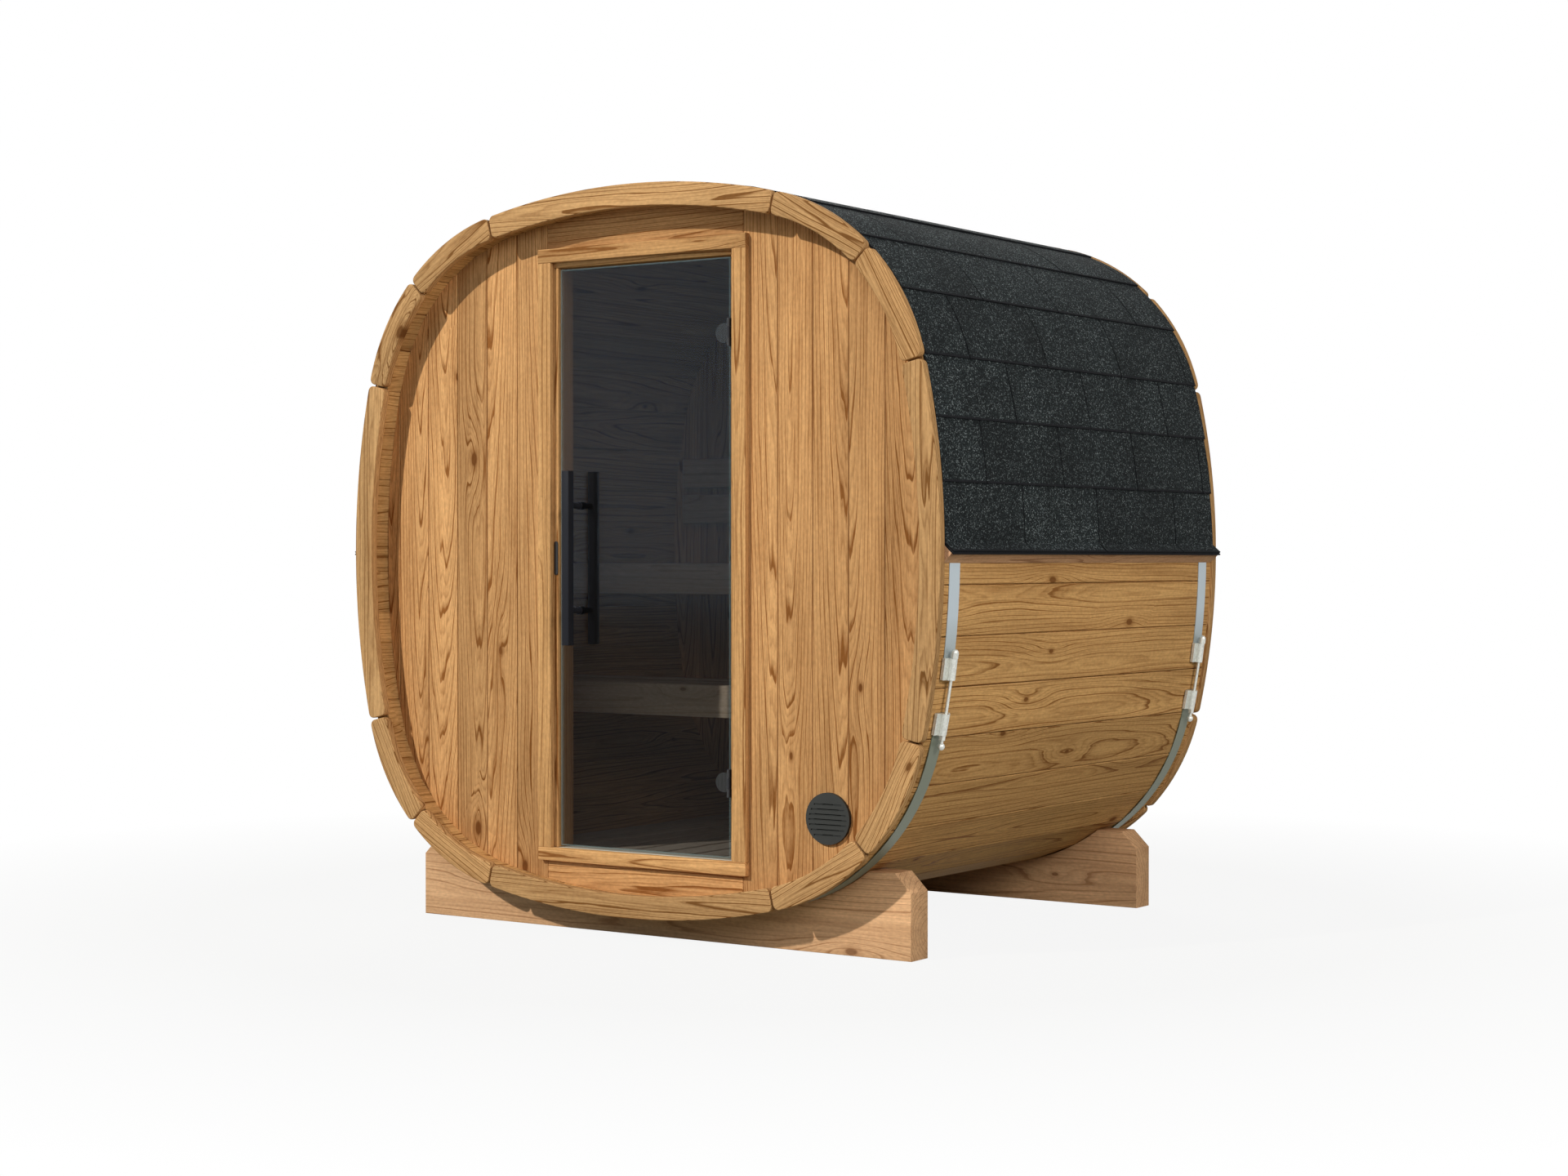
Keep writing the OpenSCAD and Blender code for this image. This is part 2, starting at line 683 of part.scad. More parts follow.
// Bench from y0 to y1: a fascia, boards across the barrel and the timbers that carry them
module bench(y0, y1, seat_z) {
    under = seat_z - board_t;
    fascia_half = section_half(wall_off, seat_z - fascia_h);
    seat_half = section_half(wall_off, under);
    seat_y0 = y0 + board_t;
    count = board_count(seat_y0 + board_gap, y1);
    pitch = board_pitch(seat_y0 + board_gap, y1);
    bearer_x = fascia_half * 0.75;
    color(inner_timber) {
        slab(-fascia_half, fascia_half, y0, seat_y0, seat_z - fascia_h, seat_z);
        for (i = [0:count - 1])
            slab(-seat_half, seat_half, seat_y0 + board_gap + i * pitch,
                seat_y0 + board_gap + i * pitch + board_w, under, seat_z);
        for (x = [-bearer_x, 0, bearer_x])
            slab(x - bearer_w / 2, x + bearer_w / 2, seat_y0, y1, under - bearer_h, under);
    }
}
module upper_bench() { bench(upper_y0, rear_wall_y0, floor_z + upper_seat_h); }
module lower_bench() { bench(lower_y0, upper_y0, floor_z + lower_seat_h); }

// Two boards on three battens against the rear wall
module backrest() {
    batten_y0 = rear_wall_y0 - board_t;
    half_w = backrest_w / 2;
    step = fascia_h + backrest_gap;
    batten_x = half_w * 0.75;
    color(inner_timber) {
        for (z = [backrest_z0, backrest_z0 + step])
            slab(-half_w, half_w, batten_y0 - board_t, batten_y0, z, z + fascia_h);
        for (x = [-batten_x, 0, batten_x])
            slab(x - bearer_w / 2, x + bearer_w / 2, batten_y0, rear_wall_y0,
                backrest_z0, backrest_z0 + step + fascia_h);
    }
}

barrel_top();
barrel_upper_right();
barrel_right();
barrel_lower_right();
barrel_bottom();
barrel_lower_left();
barrel_left();
barrel_upper_left();
front_trim();
rear_trim();
roof_left();
roof_ridge();
roof_right();
eave_batten_left();
eave_batten_right();
front_band();
rear_band();
front_band_clamp();
rear_band_clamp();
front_cradle();
rear_cradle();
front_wall_left();
front_wall_right();
front_wall_header();
front_wall_sill();
rear_wall();
casing_left();
casing_right();
casing_head();
casing_foot();
jamb_left();
jamb_right();
jamb_head();
threshold();
door_glass();
outer_handle();
inner_handle();
glass_hinges();
frame_hinges();
strike_plate();
vent_cover();
floor_deck();
lower_bench();
upper_bench();
backrest();
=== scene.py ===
"""Looks of the barrel sauna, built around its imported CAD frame."""
import math
import random

import bmesh
import bpy
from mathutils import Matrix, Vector

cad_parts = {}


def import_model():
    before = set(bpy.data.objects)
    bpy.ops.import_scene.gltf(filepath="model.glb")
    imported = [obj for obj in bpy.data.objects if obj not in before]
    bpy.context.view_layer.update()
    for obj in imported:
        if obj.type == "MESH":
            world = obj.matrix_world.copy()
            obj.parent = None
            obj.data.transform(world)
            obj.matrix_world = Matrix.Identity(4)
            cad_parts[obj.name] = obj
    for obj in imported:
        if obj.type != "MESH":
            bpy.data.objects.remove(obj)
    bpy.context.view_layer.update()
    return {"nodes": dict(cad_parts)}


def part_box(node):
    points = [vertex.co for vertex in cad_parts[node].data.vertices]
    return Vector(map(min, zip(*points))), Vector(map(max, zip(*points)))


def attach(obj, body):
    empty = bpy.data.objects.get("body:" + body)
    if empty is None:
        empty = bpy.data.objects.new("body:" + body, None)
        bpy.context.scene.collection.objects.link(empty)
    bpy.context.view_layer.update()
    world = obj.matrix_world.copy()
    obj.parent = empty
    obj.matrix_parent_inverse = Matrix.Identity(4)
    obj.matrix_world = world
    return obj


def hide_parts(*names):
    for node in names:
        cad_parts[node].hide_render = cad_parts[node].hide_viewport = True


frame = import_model()
rng = random.Random(7)

# Sizes of the barrel, in metres, as in the part's source
SIDE_R = 2.240
CORNER_R = 0.620
HALF_SPAN = 1.025
AXIS_Z = 1.089
SIDE_SHIFT = SIDE_R - HALF_SPAN
CENTRE_STEP = SIDE_R - CORNER_R
CORNER_SHIFT = (math.sqrt(2 * CENTRE_STEP ** 2 - SIDE_SHIFT ** 2) - SIDE_SHIFT) / 2
JOIN = math.atan(CORNER_SHIFT / (CORNER_SHIFT + SIDE_SHIFT))
TRIM_W = 0.065
STAVE_OFF = 0.008
STAVE_T = 0.045
INNER_OFF = STAVE_OFF + STAVE_T
FRONT_Y = -0.825
REAR_Y = 0.825
TRIM_T = 0.025
STAVE_Y0 = FRONT_Y + TRIM_T
STAVE_Y1 = REAR_Y - TRIM_T
EAVE_RISE = 0.019
EAVE_ANGLE = math.asin(EAVE_RISE / (SIDE_R - STAVE_OFF))
# Clearance between a piece and the one that it seats on
SEAT_GAP = 0.0003


# Mesh building

# Edges that turn by less than this many degrees are shaded smooth
SMOOTH_ANGLE = 35.0
# How far a board's pith lies from its face and to the side, when nothing else is said
PITH_DEPTH = (0.025, 0.085)
PITH_SIDE = (-0.05, 0.05)
# A board's grain starts anywhere within this length of its log
LOG_LENGTH = 90


class Mesh:
    """Vertices and faces with a grain position and a tone for every vertex."""

    def __init__(self):
        self.verts = []
        self.faces = []
        self.slots = []
        self.grain = []
        self.tone = []

    def vert(self, co, grain=(0.0, 0.0, 0.0), tone=0.5):
        self.verts.append(tuple(co))
        self.grain.append(tuple(grain))
        self.tone.append(tone)
        return len(self.verts) - 1

    def face(self, loop, slot=0):
        self.faces.append(tuple(loop))
        self.slots.append(slot)

    def build(self, name, materials):
        data = bpy.data.meshes.new(name)
        data.from_pydata(self.verts, [], self.faces)
        grain = data.attributes.new("grain", "FLOAT_VECTOR", "POINT")
        grain.data.foreach_set("vector", [c for g in self.grain for c in g])
        tone = data.attributes.new("tone", "FLOAT", "POINT")
        tone.data.foreach_set("value", self.tone)
        for material in materials:
            data.materials.append(material)
        data.polygons.foreach_set("material_index", self.slots)
        work = bmesh.new()
        work.from_mesh(data)
        bmesh.ops.recalc_face_normals(work, faces=work.faces)
        work.to_mesh(data)
        work.free()
        data.polygons.foreach_set("use_smooth", [True] * len(data.polygons))
        data.set_sharp_from_angle(angle=math.radians(SMOOTH_ANGLE))
        piece = bpy.data.objects.new(name, data)
        bpy.context.scene.collection.objects.link(piece)
        return piece


class Grain:
    """Where a board lay in its log: the pith runs along the board, beside or under it, and may lean."""

    def __init__(self, along, across, origin, depth=None, side=None, lean=0.0):
        self.along = Vector(along).normalized()
        across = Vector(across)
        self.across = (across - across.dot(self.along) * self.along).normalized()
        self.through = self.along.cross(self.across)
        self.origin = Vector(origin)
        far = rng.uniform(*PITH_DEPTH) if depth is None else depth
        aside = rng.uniform(*PITH_SIDE) if side is None else side
        self.shift = Vector((rng.uniform(0, LOG_LENGTH), aside, far * rng.choice((-1, 1))))
        self.tone = rng.random()
        self.lean = lean * (0.5 + self.tone) * (-1 if self.shift.z > 0 else 1)

    def at(self, co):
        rel = Vector(co) - self.origin
        reach = rel.dot(self.along)
        deep = rel.dot(self.through) + self.lean * reach
        return Vector((reach, rel.dot(self.across), deep)) + self.shift


# Limits how far the mitre of a sharp corner reaches
MITRE_LIMIT = 0.35
# An inset smaller than this is taken as none
NO_INSET = 1e-7
# Rounding of a board's long edges
BOARD_EASE = 0.0025


def spaced(a, b, steps):
    """Evenly spaced values from a to b."""
    return [a + (b - a) * k / steps for k in range(steps + 1)]


def inset(outline, d):
    """The outline moved inward by d, with mitred corners. It runs anticlockwise."""
    moved = []
    count = len(outline)
    for i in range(count):
        p0, p1, p2 = (Vector(outline[(i + k) % count]) for k in (-1, 0, 1))
        a = (p1 - p0).normalized()
        b = (p2 - p1).normalized()
        na = Vector((-a.y, a.x))
        nb = Vector((-b.y, b.x))
        mitre = na + nb
        mitre /= max(MITRE_LIMIT, mitre.dot(na))
        moved.append(p1 + mitre * d)
    return moved


def skin(mesh, rings):
    """Faces between rings of points, with a cap on both ends."""
    count = len(rings[0])
    for low, high in zip(rings, rings[1:]):
        for i in range(count):
            j = (i + 1) % count
            mesh.face((low[i], low[j], high[j], high[i]))
    mesh.face(list(reversed(rings[0])))
    mesh.face(rings[-1])


def prism(mesh, outline, w0, w1, place, grain, bevel, steps=2):
    """A plate of the given outline from w0 to w1, with rounded edges at both ends."""
    turns = spaced(0.0, math.pi / 2, steps) if bevel > 0 else [0.0]
    levels = [(bevel * (1 - math.sin(t)), w0 + bevel * (1 - math.cos(t))) for t in turns]
    levels += [(bevel * (1 - math.sin(t)), w1 - bevel * (1 - math.cos(t))) for t in reversed(turns)]
    rings = []
    for d, w in levels:
        loop = inset(outline, d) if d > NO_INSET else [Vector(p) for p in outline]
        ring = []
        for p in loop:
            co = place(p.x, p.y, w)
            ring.append(mesh.vert(co, grain.at(co), grain.tone))
        rings.append(ring)
    skin(mesh, rings)


def across_y(x, z, y):
    return (x, y, z)


def across_x(y, z, x):
    return (x, y, z)


def across_z(x, y, z):
    return (x, y, z)


def rounded_rect(x0, x1, y0, y1, r, steps=2):
    """A rectangle with rounded corners, anticlockwise."""
    points = []
    corners = (
        (x1 - r, y1 - r, 0), (x0 + r, y1 - r, 90),
        (x0 + r, y0 + r, 180), (x1 - r, y0 + r, 270),
    )
    for cx, cy, start in corners:
        for k in range(steps + 1):
            a = math.radians(start + 90 * k / steps)
            points.append((cx + r * math.cos(a), cy + r * math.sin(a)))
    return points


def board(mesh, low, high, along, ease=BOARD_EASE, face=None):
    """A straight board with eased edges, its grain along the named axis."""
    x0, y0, z0 = low
    x1, y1, z1 = high
    middle = [(a + b) / 2 for a, b in zip(low, high)]
    if along == "x":
        grain = Grain((1, 0, 0), (0, 0, 1) if face != "z" else (0, 1, 0), middle)
        prism(mesh, rounded_rect(y0, y1, z0, z1, ease), x0, x1, across_x, grain, ease)
    elif along == "y":
        grain = Grain((0, 1, 0), (1, 0, 0), middle)
        prism(mesh, rounded_rect(x0, x1, z0, z1, ease), y0, y1, across_y, grain, ease)
    else:
        grain = Grain((0, 0, 1), (1, 0, 0), middle)
        prism(mesh, rounded_rect(x0, x1, y0, y1, ease), z0, z1, across_z, grain, ease)


# The barrel's section

def ring_length(off):
    return 8 * (SIDE_R - off) * JOIN + 4 * (CORNER_R - off) * (math.pi / 2 - 2 * JOIN)


def ring_point(s, off):
    """Point and outward direction on the section, s metres anticlockwise from the right side's middle."""
    side_r = SIDE_R - off
    corner_r = CORNER_R - off
    half_side = side_r * JOIN
    corner = corner_r * (math.pi / 2 - 2 * JOIN)
    quarter = 2 * half_side + corner
    s += half_side
    turn = math.floor(s / quarter)
    s -= turn * quarter
    if s < 2 * half_side:
        a = s / side_r - JOIN
        x = side_r * math.cos(a) - SIDE_SHIFT
        z = side_r * math.sin(a)
    else:
        a = JOIN + (s - 2 * half_side) / corner_r
        x = CORNER_SHIFT + corner_r * math.cos(a)
        z = CORNER_SHIFT + corner_r * math.sin(a)
    q = turn % 4
    for _ in range(q):
        x, z = -z, x
    a += q * math.pi / 2
    return Vector((x, z + AXIS_Z)), Vector((math.cos(a), math.sin(a)))


def half_width(off, z):
    """Half the section's width at a height."""
    h = abs(z - AXIS_Z)
    side_r = SIDE_R - off
    corner_r = CORNER_R - off
    if h < CORNER_SHIFT + corner_r * math.sin(JOIN):
        return math.sqrt(side_r ** 2 - h ** 2) - SIDE_SHIFT
    if h < CORNER_SHIFT + corner_r * math.cos(JOIN):
        return CORNER_SHIFT + math.sqrt(corner_r ** 2 - (h - CORNER_SHIFT) ** 2)
    return math.sqrt(max(0.0, side_r ** 2 - (h + SIDE_SHIFT) ** 2))


def half_height(off, x):
    """Half the section's height at a distance from the middle, which is the same curve turned."""
    return half_width(off, AXIS_Z + x)


# Materials

class Nodes:
    """Short calls for building a material's node tree."""

    def __init__(self, name):
        self.material = bpy.data.materials.new(name)
        self.material.use_nodes = True
        self.tree = self.material.node_tree
        self.shader = self.tree.nodes["Principled BSDF"]

    def add(self, kind, **settings):
        node = self.tree.nodes.new(kind)
        for key, value in settings.items():
            setattr(node, key, value)
        return node

    def put(self, socket, value):
        if isinstance(value, bpy.types.NodeSocket):
            self.tree.links.new(value, socket)
        else:
            socket.default_value = value

    def math(self, operation, a, b=0.0, clamp=False):
        node = self.add("ShaderNodeMath", operation=operation, use_clamp=clamp)
        self.put(node.inputs[0], a)
        self.put(node.inputs[1], b)
        return node.outputs[0]

    def vector(self, operation, a, b=(0, 0, 0)):
        node = self.add("ShaderNodeVectorMath", operation=operation)
        self.put(node.inputs[0], a)
        self.put(node.inputs[1], b)
        return node.outputs["Value" if operation == "LENGTH" else "Vector"]

    def noise(self, vector, scale, detail, rough=0.5):
        node = self.add("ShaderNodeTexNoise")
        self.put(node.inputs["Vector"], vector)
        node.inputs["Scale"].default_value = scale
        node.inputs["Detail"].default_value = detail
        node.inputs["Roughness"].default_value = rough
        return node.outputs["Fac"]

    def cells(self, vector, scale, dimensions="3D"):
        """Voronoi cells, and the random values of each."""
        node = self.add("ShaderNodeTexVoronoi", voronoi_dimensions=dimensions)
        self.put(node.inputs["Vector"], vector)
        node.inputs["Scale"].default_value = scale
        pick = self.add("ShaderNodeSeparateColor")
        self.put(pick.inputs[0], node.outputs["Color"])
        return node.outputs, pick.outputs

    def ramp(self, value, stops):
        node = self.add("ShaderNodeValToRGB")
        while len(node.color_ramp.elements) < len(stops):
            node.color_ramp.elements.new(0.5)
        for element, (place, colour) in zip(node.color_ramp.elements, stops):
            element.position = place
            element.color = colour if len(colour) == 4 else (*colour, 1.0)
        self.put(node.inputs["Fac"], value)
        return node.outputs["Color"]

    def span(self, value, low, high, to_low, to_high):
        node = self.add("ShaderNodeMapRange")
        for socket, v in zip(node.inputs, (value, low, high, to_low, to_high)):
            self.put(socket, v)
        return node.outputs[0]

    def mix(self, factor, a, b):
        node = self.add("ShaderNodeMix", data_type="RGBA")
        self.put(node.inputs["Factor"], factor)
        self.put(node.inputs["A"], a)
        self.put(node.inputs["B"], b)
        return node.outputs["Result"]

    def scale(self, colour, factor):
        node = self.add("ShaderNodeVectorMath", operation="SCALE")
        self.put(node.inputs[0], colour)
        self.put(node.inputs["Scale"], factor)
        return node.outputs[0]

    def attribute(self, name, output):
        return self.add("ShaderNodeAttribute", attribute_name=name).outputs[output]

    def object_point(self):
        return self.add("ShaderNodeTexCoord").outputs["Object"]

    def axes(self, vector):
        node = self.add("ShaderNodeSeparateXYZ")
        self.put(node.inputs[0], vector)
        return node.outputs

    def shine(self, level):
        self.shader.inputs["Specular IOR Level"].default_value = level

    def bump(self, height, strength, distance):
        node = self.add("ShaderNodeBump")
        node.inputs["Strength"].default_value = strength
        node.inputs["Distance"].default_value = distance
        self.put(node.inputs["Height"], height)
        self.put(self.shader.inputs["Normal"], node.outputs["Normal"])

    def set(self, **sockets):
        for key, value in sockets.items():
            self.put(self.shader.inputs[key.replace("_", " ")], value)


def grey(v):
    return (v, v, v, 1.0)


# Knots of a board: cells to the metre along and across it, the share of them with a knot, and knot radii
KNOT_CELLS = (1.5, 3.6, 1.0)
KNOT_SHARE = 0.5
KNOT_SIZE = (0.0055, 0.0115)
# A knot is twice as long as it is wide
KNOT_SHAPE = (0.5, 1.0, 0.0)
# How fast the bend of the grain round a knot dies away, and its reach in knot radii
KNOT_FLOW = (7.0, 30.0, 0.0)
KNOT_PUSH = 2.6
# How a knot's halo and core fade with the distance from its middle, in knot radii
KNOT_HALO = (1.0, 2.2, 0.55, 0.0)
KNOT_CORE = (0.75, 1.10, 1.0, 0.0)
# Noise in a board: cells to the metre along it, across it and through it
DRIFT = (0.75, 5.0, 5.0)
RIPPLE = (4.0, 28.0, 28.0)
FIBRE = (10.0, 430.0, 430.0)
STREAK = (0.9, 60.0, 60.0)
STRIPE = (2.2, 170.0, 170.0)
PATCH = (1.1, 16.0, 16.0)
CLOUD = (1.3, 9.0, 9.0)
MOTTLE = (70.0, 150.0, 150.0)
YEARS = 34.0
# How far the noise moves the growth rings, in metres
DRIFT_REACH = 0.060
RIPPLE_REACH = 0.0050
YEARS_REACH = 0.010
# Width of the fine rings as a share of the coarse ones
FINE_RING = 0.31
# Late wood over one ring, coarse and fine
RING_LINE = ((0.0, 0.0), (0.76, 0.0), (0.86, 0.40), (0.92, 1.0), (0.96, 0.9), (0.985, 0.0))
FINE_LINE = ((0.0, 0.2), (0.2, 0.0), (0.55, 0.35), (0.85, 1.0), (0.97, 0.2))
# How strongly the rings show, where the streaks are weak and where they are strong
LINE_STRENGTH = (0.40, 1.30)
FINE_STRENGTH = 0.34
FINE_MEAN = 0.4
# What each noise adds to the late wood: its low and high value, and what is added there
STREAK_ADDS = (0.3, 0.7, -0.12, 0.14)
STRIPE_ADDS = (0.25, 0.75, -0.16, 0.18)
PATCH_ADDS = (0.45, 0.70, 0.17, 0.40)
FIBRE_ADDS = (0.2, 0.8, -0.20, 0.24)
# How each noise, and the board's own tone, shades the colour
CLOUD_SHADES = (0.3, 0.7, 0.90, 1.08)
MOTTLE_SHADES = (0.25, 0.75, 0.88, 1.12)
TONE_SHADES = (0.0, 1.0, 0.84, 1.12)
# Roughness between the rings and on them
WOOD_ROUGH = (0.68, 0.54)
WOOD_SHINE = 0.02


def wood(name, early, late, knot, ring=0.0095, wander=1.0, knots=1.0, contrast=1.0):
    """Pine with growth rings, grain that flows round the knots, and fine fibres."""
    n = Nodes(name)
    grain = n.attribute("grain", "Vector")
    tone = n.attribute("tone", "Fac")

    def noise(scale, detail=2.0, rough=0.5):
        return n.noise(n.vector("MULTIPLY", grain, scale), 1.0, detail, rough)

    def about_zero(value):
        return n.math("SUBTRACT", value, 0.5)

    def rings(radius, width, stops):
        place = n.math("FRACT", n.math("DIVIDE", radius, width))
        return n.ramp(place, [(p, grey(v)) for p, v in stops])

    side = n.vector("MULTIPLY", grain, (0.0, 1.0, 1.0))
    place = n.vector("MULTIPLY", grain, KNOT_CELLS)
    cell, pick = n.cells(place, 1.0, "2D")
    chosen = n.math("GREATER_THAN", pick[0], 1.0 - KNOT_SHARE * knots)
    size = n.span(pick[1], 0.0, 1.0, *KNOT_SIZE)
    away = n.vector("DIVIDE", n.vector("SUBTRACT", place, cell["Position"]), KNOT_CELLS)
    near = n.math("DIVIDE", n.vector("LENGTH", n.vector("MULTIPLY", away, KNOT_SHAPE)), size)
    flow = n.vector("LENGTH", n.vector("MULTIPLY", away, KNOT_FLOW))
    swell = n.math("EXPONENT", n.math("MULTIPLY", n.math("MULTIPLY", flow, flow), -1.0))
    swell = n.math("MULTIPLY", swell, n.math("MULTIPLY", n.math("MULTIPLY", size, KNOT_PUSH), chosen))

    radius = n.vector("LENGTH", side)
    moves = (
        (about_zero(noise(DRIFT, 1.0)), DRIFT_REACH * wander),
        (about_zero(noise(RIPPLE)), RIPPLE_REACH),
        (n.noise(side, YEARS, 1.0), YEARS_REACH),
    )
    for value, reach in moves:
        radius = n.math("ADD", radius, n.math("MULTIPLY", value, reach))
    radius = n.math("ADD", radius, swell)
    line = rings(radius, ring, RING_LINE)
    fine = rings(radius, ring * FINE_RING, FINE_LINE)

    fibre = noise(FIBRE, rough=0.6)
    streak = noise(STREAK, 3.0, 0.6)
    stripe = noise(STRIPE, rough=0.6)
    strength = n.span(streak, 0.25, 0.75, *(v * contrast for v in LINE_STRENGTH))
    density = n.math("MULTIPLY", line, strength)
    fine = n.math("MULTIPLY", n.math("SUBTRACT", fine, FINE_MEAN), FINE_STRENGTH * contrast)
    density = n.math("ADD", density, fine)
    density = n.math("ADD", density, n.span(streak, *STREAK_ADDS))
    density = n.math("ADD", density, n.span(stripe, *STRIPE_ADDS))
    density = n.math("ADD", density, n.span(noise(PATCH), *PATCH_ADDS))
    density = n.math("ADD", density, n.span(fibre, *FIBRE_ADDS), clamp=True)
    colour = n.mix(density, early, late)
    halo = n.math("MULTIPLY", n.span(near, *KNOT_HALO), chosen, clamp=True)
    colour = n.mix(halo, colour, late)
    core = n.math("MULTIPLY", n.span(near, *KNOT_CORE), chosen, clamp=True)
    colour = n.mix(core, colour, n.mix(fibre, knot, late))
    shade = n.math("MULTIPLY", n.span(noise(CLOUD), *CLOUD_SHADES), n.span(noise(MOTTLE), *MOTTLE_SHADES))
    shade = n.math("MULTIPLY", shade, n.span(tone, *TONE_SHADES))
    n.set(Base_Color=n.scale(colour, shade), Roughness=n.span(density, 0.0, 1.0, *WOOD_ROUGH))
    n.shine(WOOD_SHINE)
    relief = n.math("ADD", n.math("MULTIPLY", line, 0.5), n.math("MULTIPLY", fibre, 0.5))
    n.bump(relief, strength=0.22, distance=0.0012)
    return n.material


# Granules of a shingle: cells to the metre, and their colours from the darkest to the palest
GRANULES = 380.0
GRANULE_COLOURS = (
    (0.0, (0.0015, 0.0023, 0.0025)),
    (0.40, (0.0047, 0.0067, 0.0073)),
    (0.72, (0.0148, 0.0190, 0.020)),
    (0.90, (0.051, 0.063, 0.065)),
    (1.0, (0.22, 0.250, 0.252)),
)


def shingle_material(name, edge=False):
    """Bitumen felt with mineral granules, or dark felt without granules for its cut edges, which also
    paints the shade along the laps and in the slits.
    """
    n = Nodes(name)
    point = n.object_point()
    cell, pick = n.cells(point, GRANULES)
    if edge:
        # Near-black felt: the real cut edges, and painted shade along the tabs' lower edges and in the
        # slits
        colour = n.mix(n.noise(point, 120.0, 2.0), (0.003, 0.003, 0.004, 1), (0.011, 0.012, 0.014, 1))
    else:
        shade = n.span(n.noise(point, 5.0, 3.0), 0.3, 0.7, 0.72, 1.28)
        shade = n.math("MULTIPLY", shade, n.span(n.noise(point, 110.0, 2.0), 0.3, 0.7, 0.70, 1.25))
        shade = n.math("MULTIPLY", shade, n.span(n.attribute("tone", "Fac"), 0.0, 1.0, 0.85, 1.15))
        colour = n.scale(n.ramp(pick[0], GRANULE_COLOURS), shade)
    n.set(Base_Color=colour, Roughness=0.85)
    n.shine(0.10)
    n.bump(n.math("SUBTRACT", 1.0, cell["Distance"]), strength=0.55, distance=0.0015)
    return n.material


# Brushing of metal is longer in Z than across it
BRUSHED = (1.0, 1.0, 0.08)


def clamp_metal(name):
    """Galvanised clamps with small zinc spangle."""
    n = Nodes(name)
    point = n.object_point()
    pick = n.cells(point, 220.0)[1]
    n.set(Base_Color=n.mix(pick[0], (0.594, 0.603, 0.558, 1), (0.726, 0.737, 0.682, 1)))
    brushing = n.noise(n.vector("MULTIPLY", point, BRUSHED), 900.0, 2.0)
    n.set(Roughness=n.span(brushing, 0.2, 0.8, 0.32, 0.50), Metallic=0.6)
    n.bump(brushing, strength=0.06, distance=0.0005)
    return n.material


# Heights between which the painted shade on the bands' lower part fades out: full below the first, gone
# above the second
BAND_SHADE_FULL_Z = 0.68
BAND_SHADE_END_Z = 0.92


def band_metal(name):
    """Galvanised strip, light grey on the side and painted darker and greener lower down, a painted shade
    and reflection of dark ground.
    """
    n = Nodes(name)
    point = n.object_point()
    streaks = n.noise(n.vector("MULTIPLY", point, BRUSHED), 300.0, 2.0)
    band_lit_colour = n.mix(streaks, (0.47, 0.535, 0.58, 1), (0.525, 0.60, 0.645, 1))
    # Painted shade and reflection: the lower part of the band is coloured darker and greener
    painted_band_shade = n.mix(streaks, (0.15, 0.170, 0.125, 1), (0.21, 0.230, 0.170, 1))
    n.set(Base_Color=n.mix(n.span(n.axes(point)["Z"], BAND_SHADE_FULL_Z, BAND_SHADE_END_Z, 0.0, 1.0), painted_band_shade, band_lit_colour))
    n.set(Roughness=n.span(streaks, 0.2, 0.8, 0.42, 0.60), Metallic=0.4)
    n.bump(streaks, strength=0.06, distance=0.0005)
    return n.material


# Fine texture of coatings and mouldings: cells to the metre
COATING_GRAIN = 700.0


def coating(name, colour, rough, shine=0.2):
    """Powder coating or moulded plastic with a fine texture."""
    n = Nodes(name)
    point = n.object_point()
    grain = n.noise(point, COATING_GRAIN, 2.0)
    low = tuple(c * 0.8 for c in colour) + (1.0,)
    high = tuple(c * 1.2 for c in colour) + (1.0,)
    n.set(Base_Color=n.mix(n.noise(point, 14.0, 2.0), low, high))
    n.set(Roughness=n.span(grain, 0.2, 0.8, rough - 0.08, rough + 0.08))
    n.shine(shine)
    n.bump(grain, strength=0.10, distance=0.0004)
    return n.material


# Where the discs of the glass hinges end and their arms begin, in X
HINGE_DISC_EDGE = 0.2998
HINGE_BLEND = 0.001


def hinge_metal(name):
    """Black arms with grey discs where they clamp the glass."""
    n = Nodes(name)
    point = n.object_point()
    grain = n.noise(point, COATING_GRAIN, 2.0)
    disc = n.mix(grain, (0.105, 0.107, 0.105, 1), (0.135, 0.137, 0.135, 1))
    arm = n.mix(grain, (0.016, 0.017, 0.020, 1), (0.026, 0.027, 0.031, 1))
    on_arm = n.span(n.axes(point)["X"], HINGE_DISC_EDGE - HINGE_BLEND, HINGE_DISC_EDGE, 0.0, 1.0)
    n.set(Base_Color=n.mix(on_arm, disc, arm), Roughness=n.span(grain, 0.2, 0.8, 0.34, 0.48))
    n.shine(0.2)
    n.bump(grain, strength=0.10, distance=0.0004)
    return n.material


# Where the green rim of the glass begins and where it is full
RIM_SIDE = (0.2955, 0.2960)
RIM_TOP = (1.8960, 1.8965)
RIM_FOOT = (0.2465, 0.2470)


def tinted_glass(name):
    """Grey glass with green edges and a faint even film on it."""
    n = Nodes(name)
    point = n.object_point()
    smear = n.noise(point, 3.0, 2.0)
    axes = n.axes(point)
    film = n.mix(smear, (0.005, 0.005, 0.005, 1), (0.008, 0.008, 0.008, 1))
    rim = n.span(n.math("ABSOLUTE", axes["X"]), *RIM_SIDE, 0.0, 1.0)
    rim = n.math("MAXIMUM", rim, n.span(axes["Z"], *RIM_TOP, 0.0, 1.0))
    rim = n.math("MAXIMUM", rim, n.span(axes["Z"], *RIM_FOOT, 1.0, 0.0))
    film = n.mix(rim, film, (0.150, 0.225, 0.225, 1))
    n.set(Base_Color=film, Roughness=n.span(smear, 0.2, 0.8, 0.11, 0.15), Alpha=0.34)
    n.shine(0.15)
    return n.material


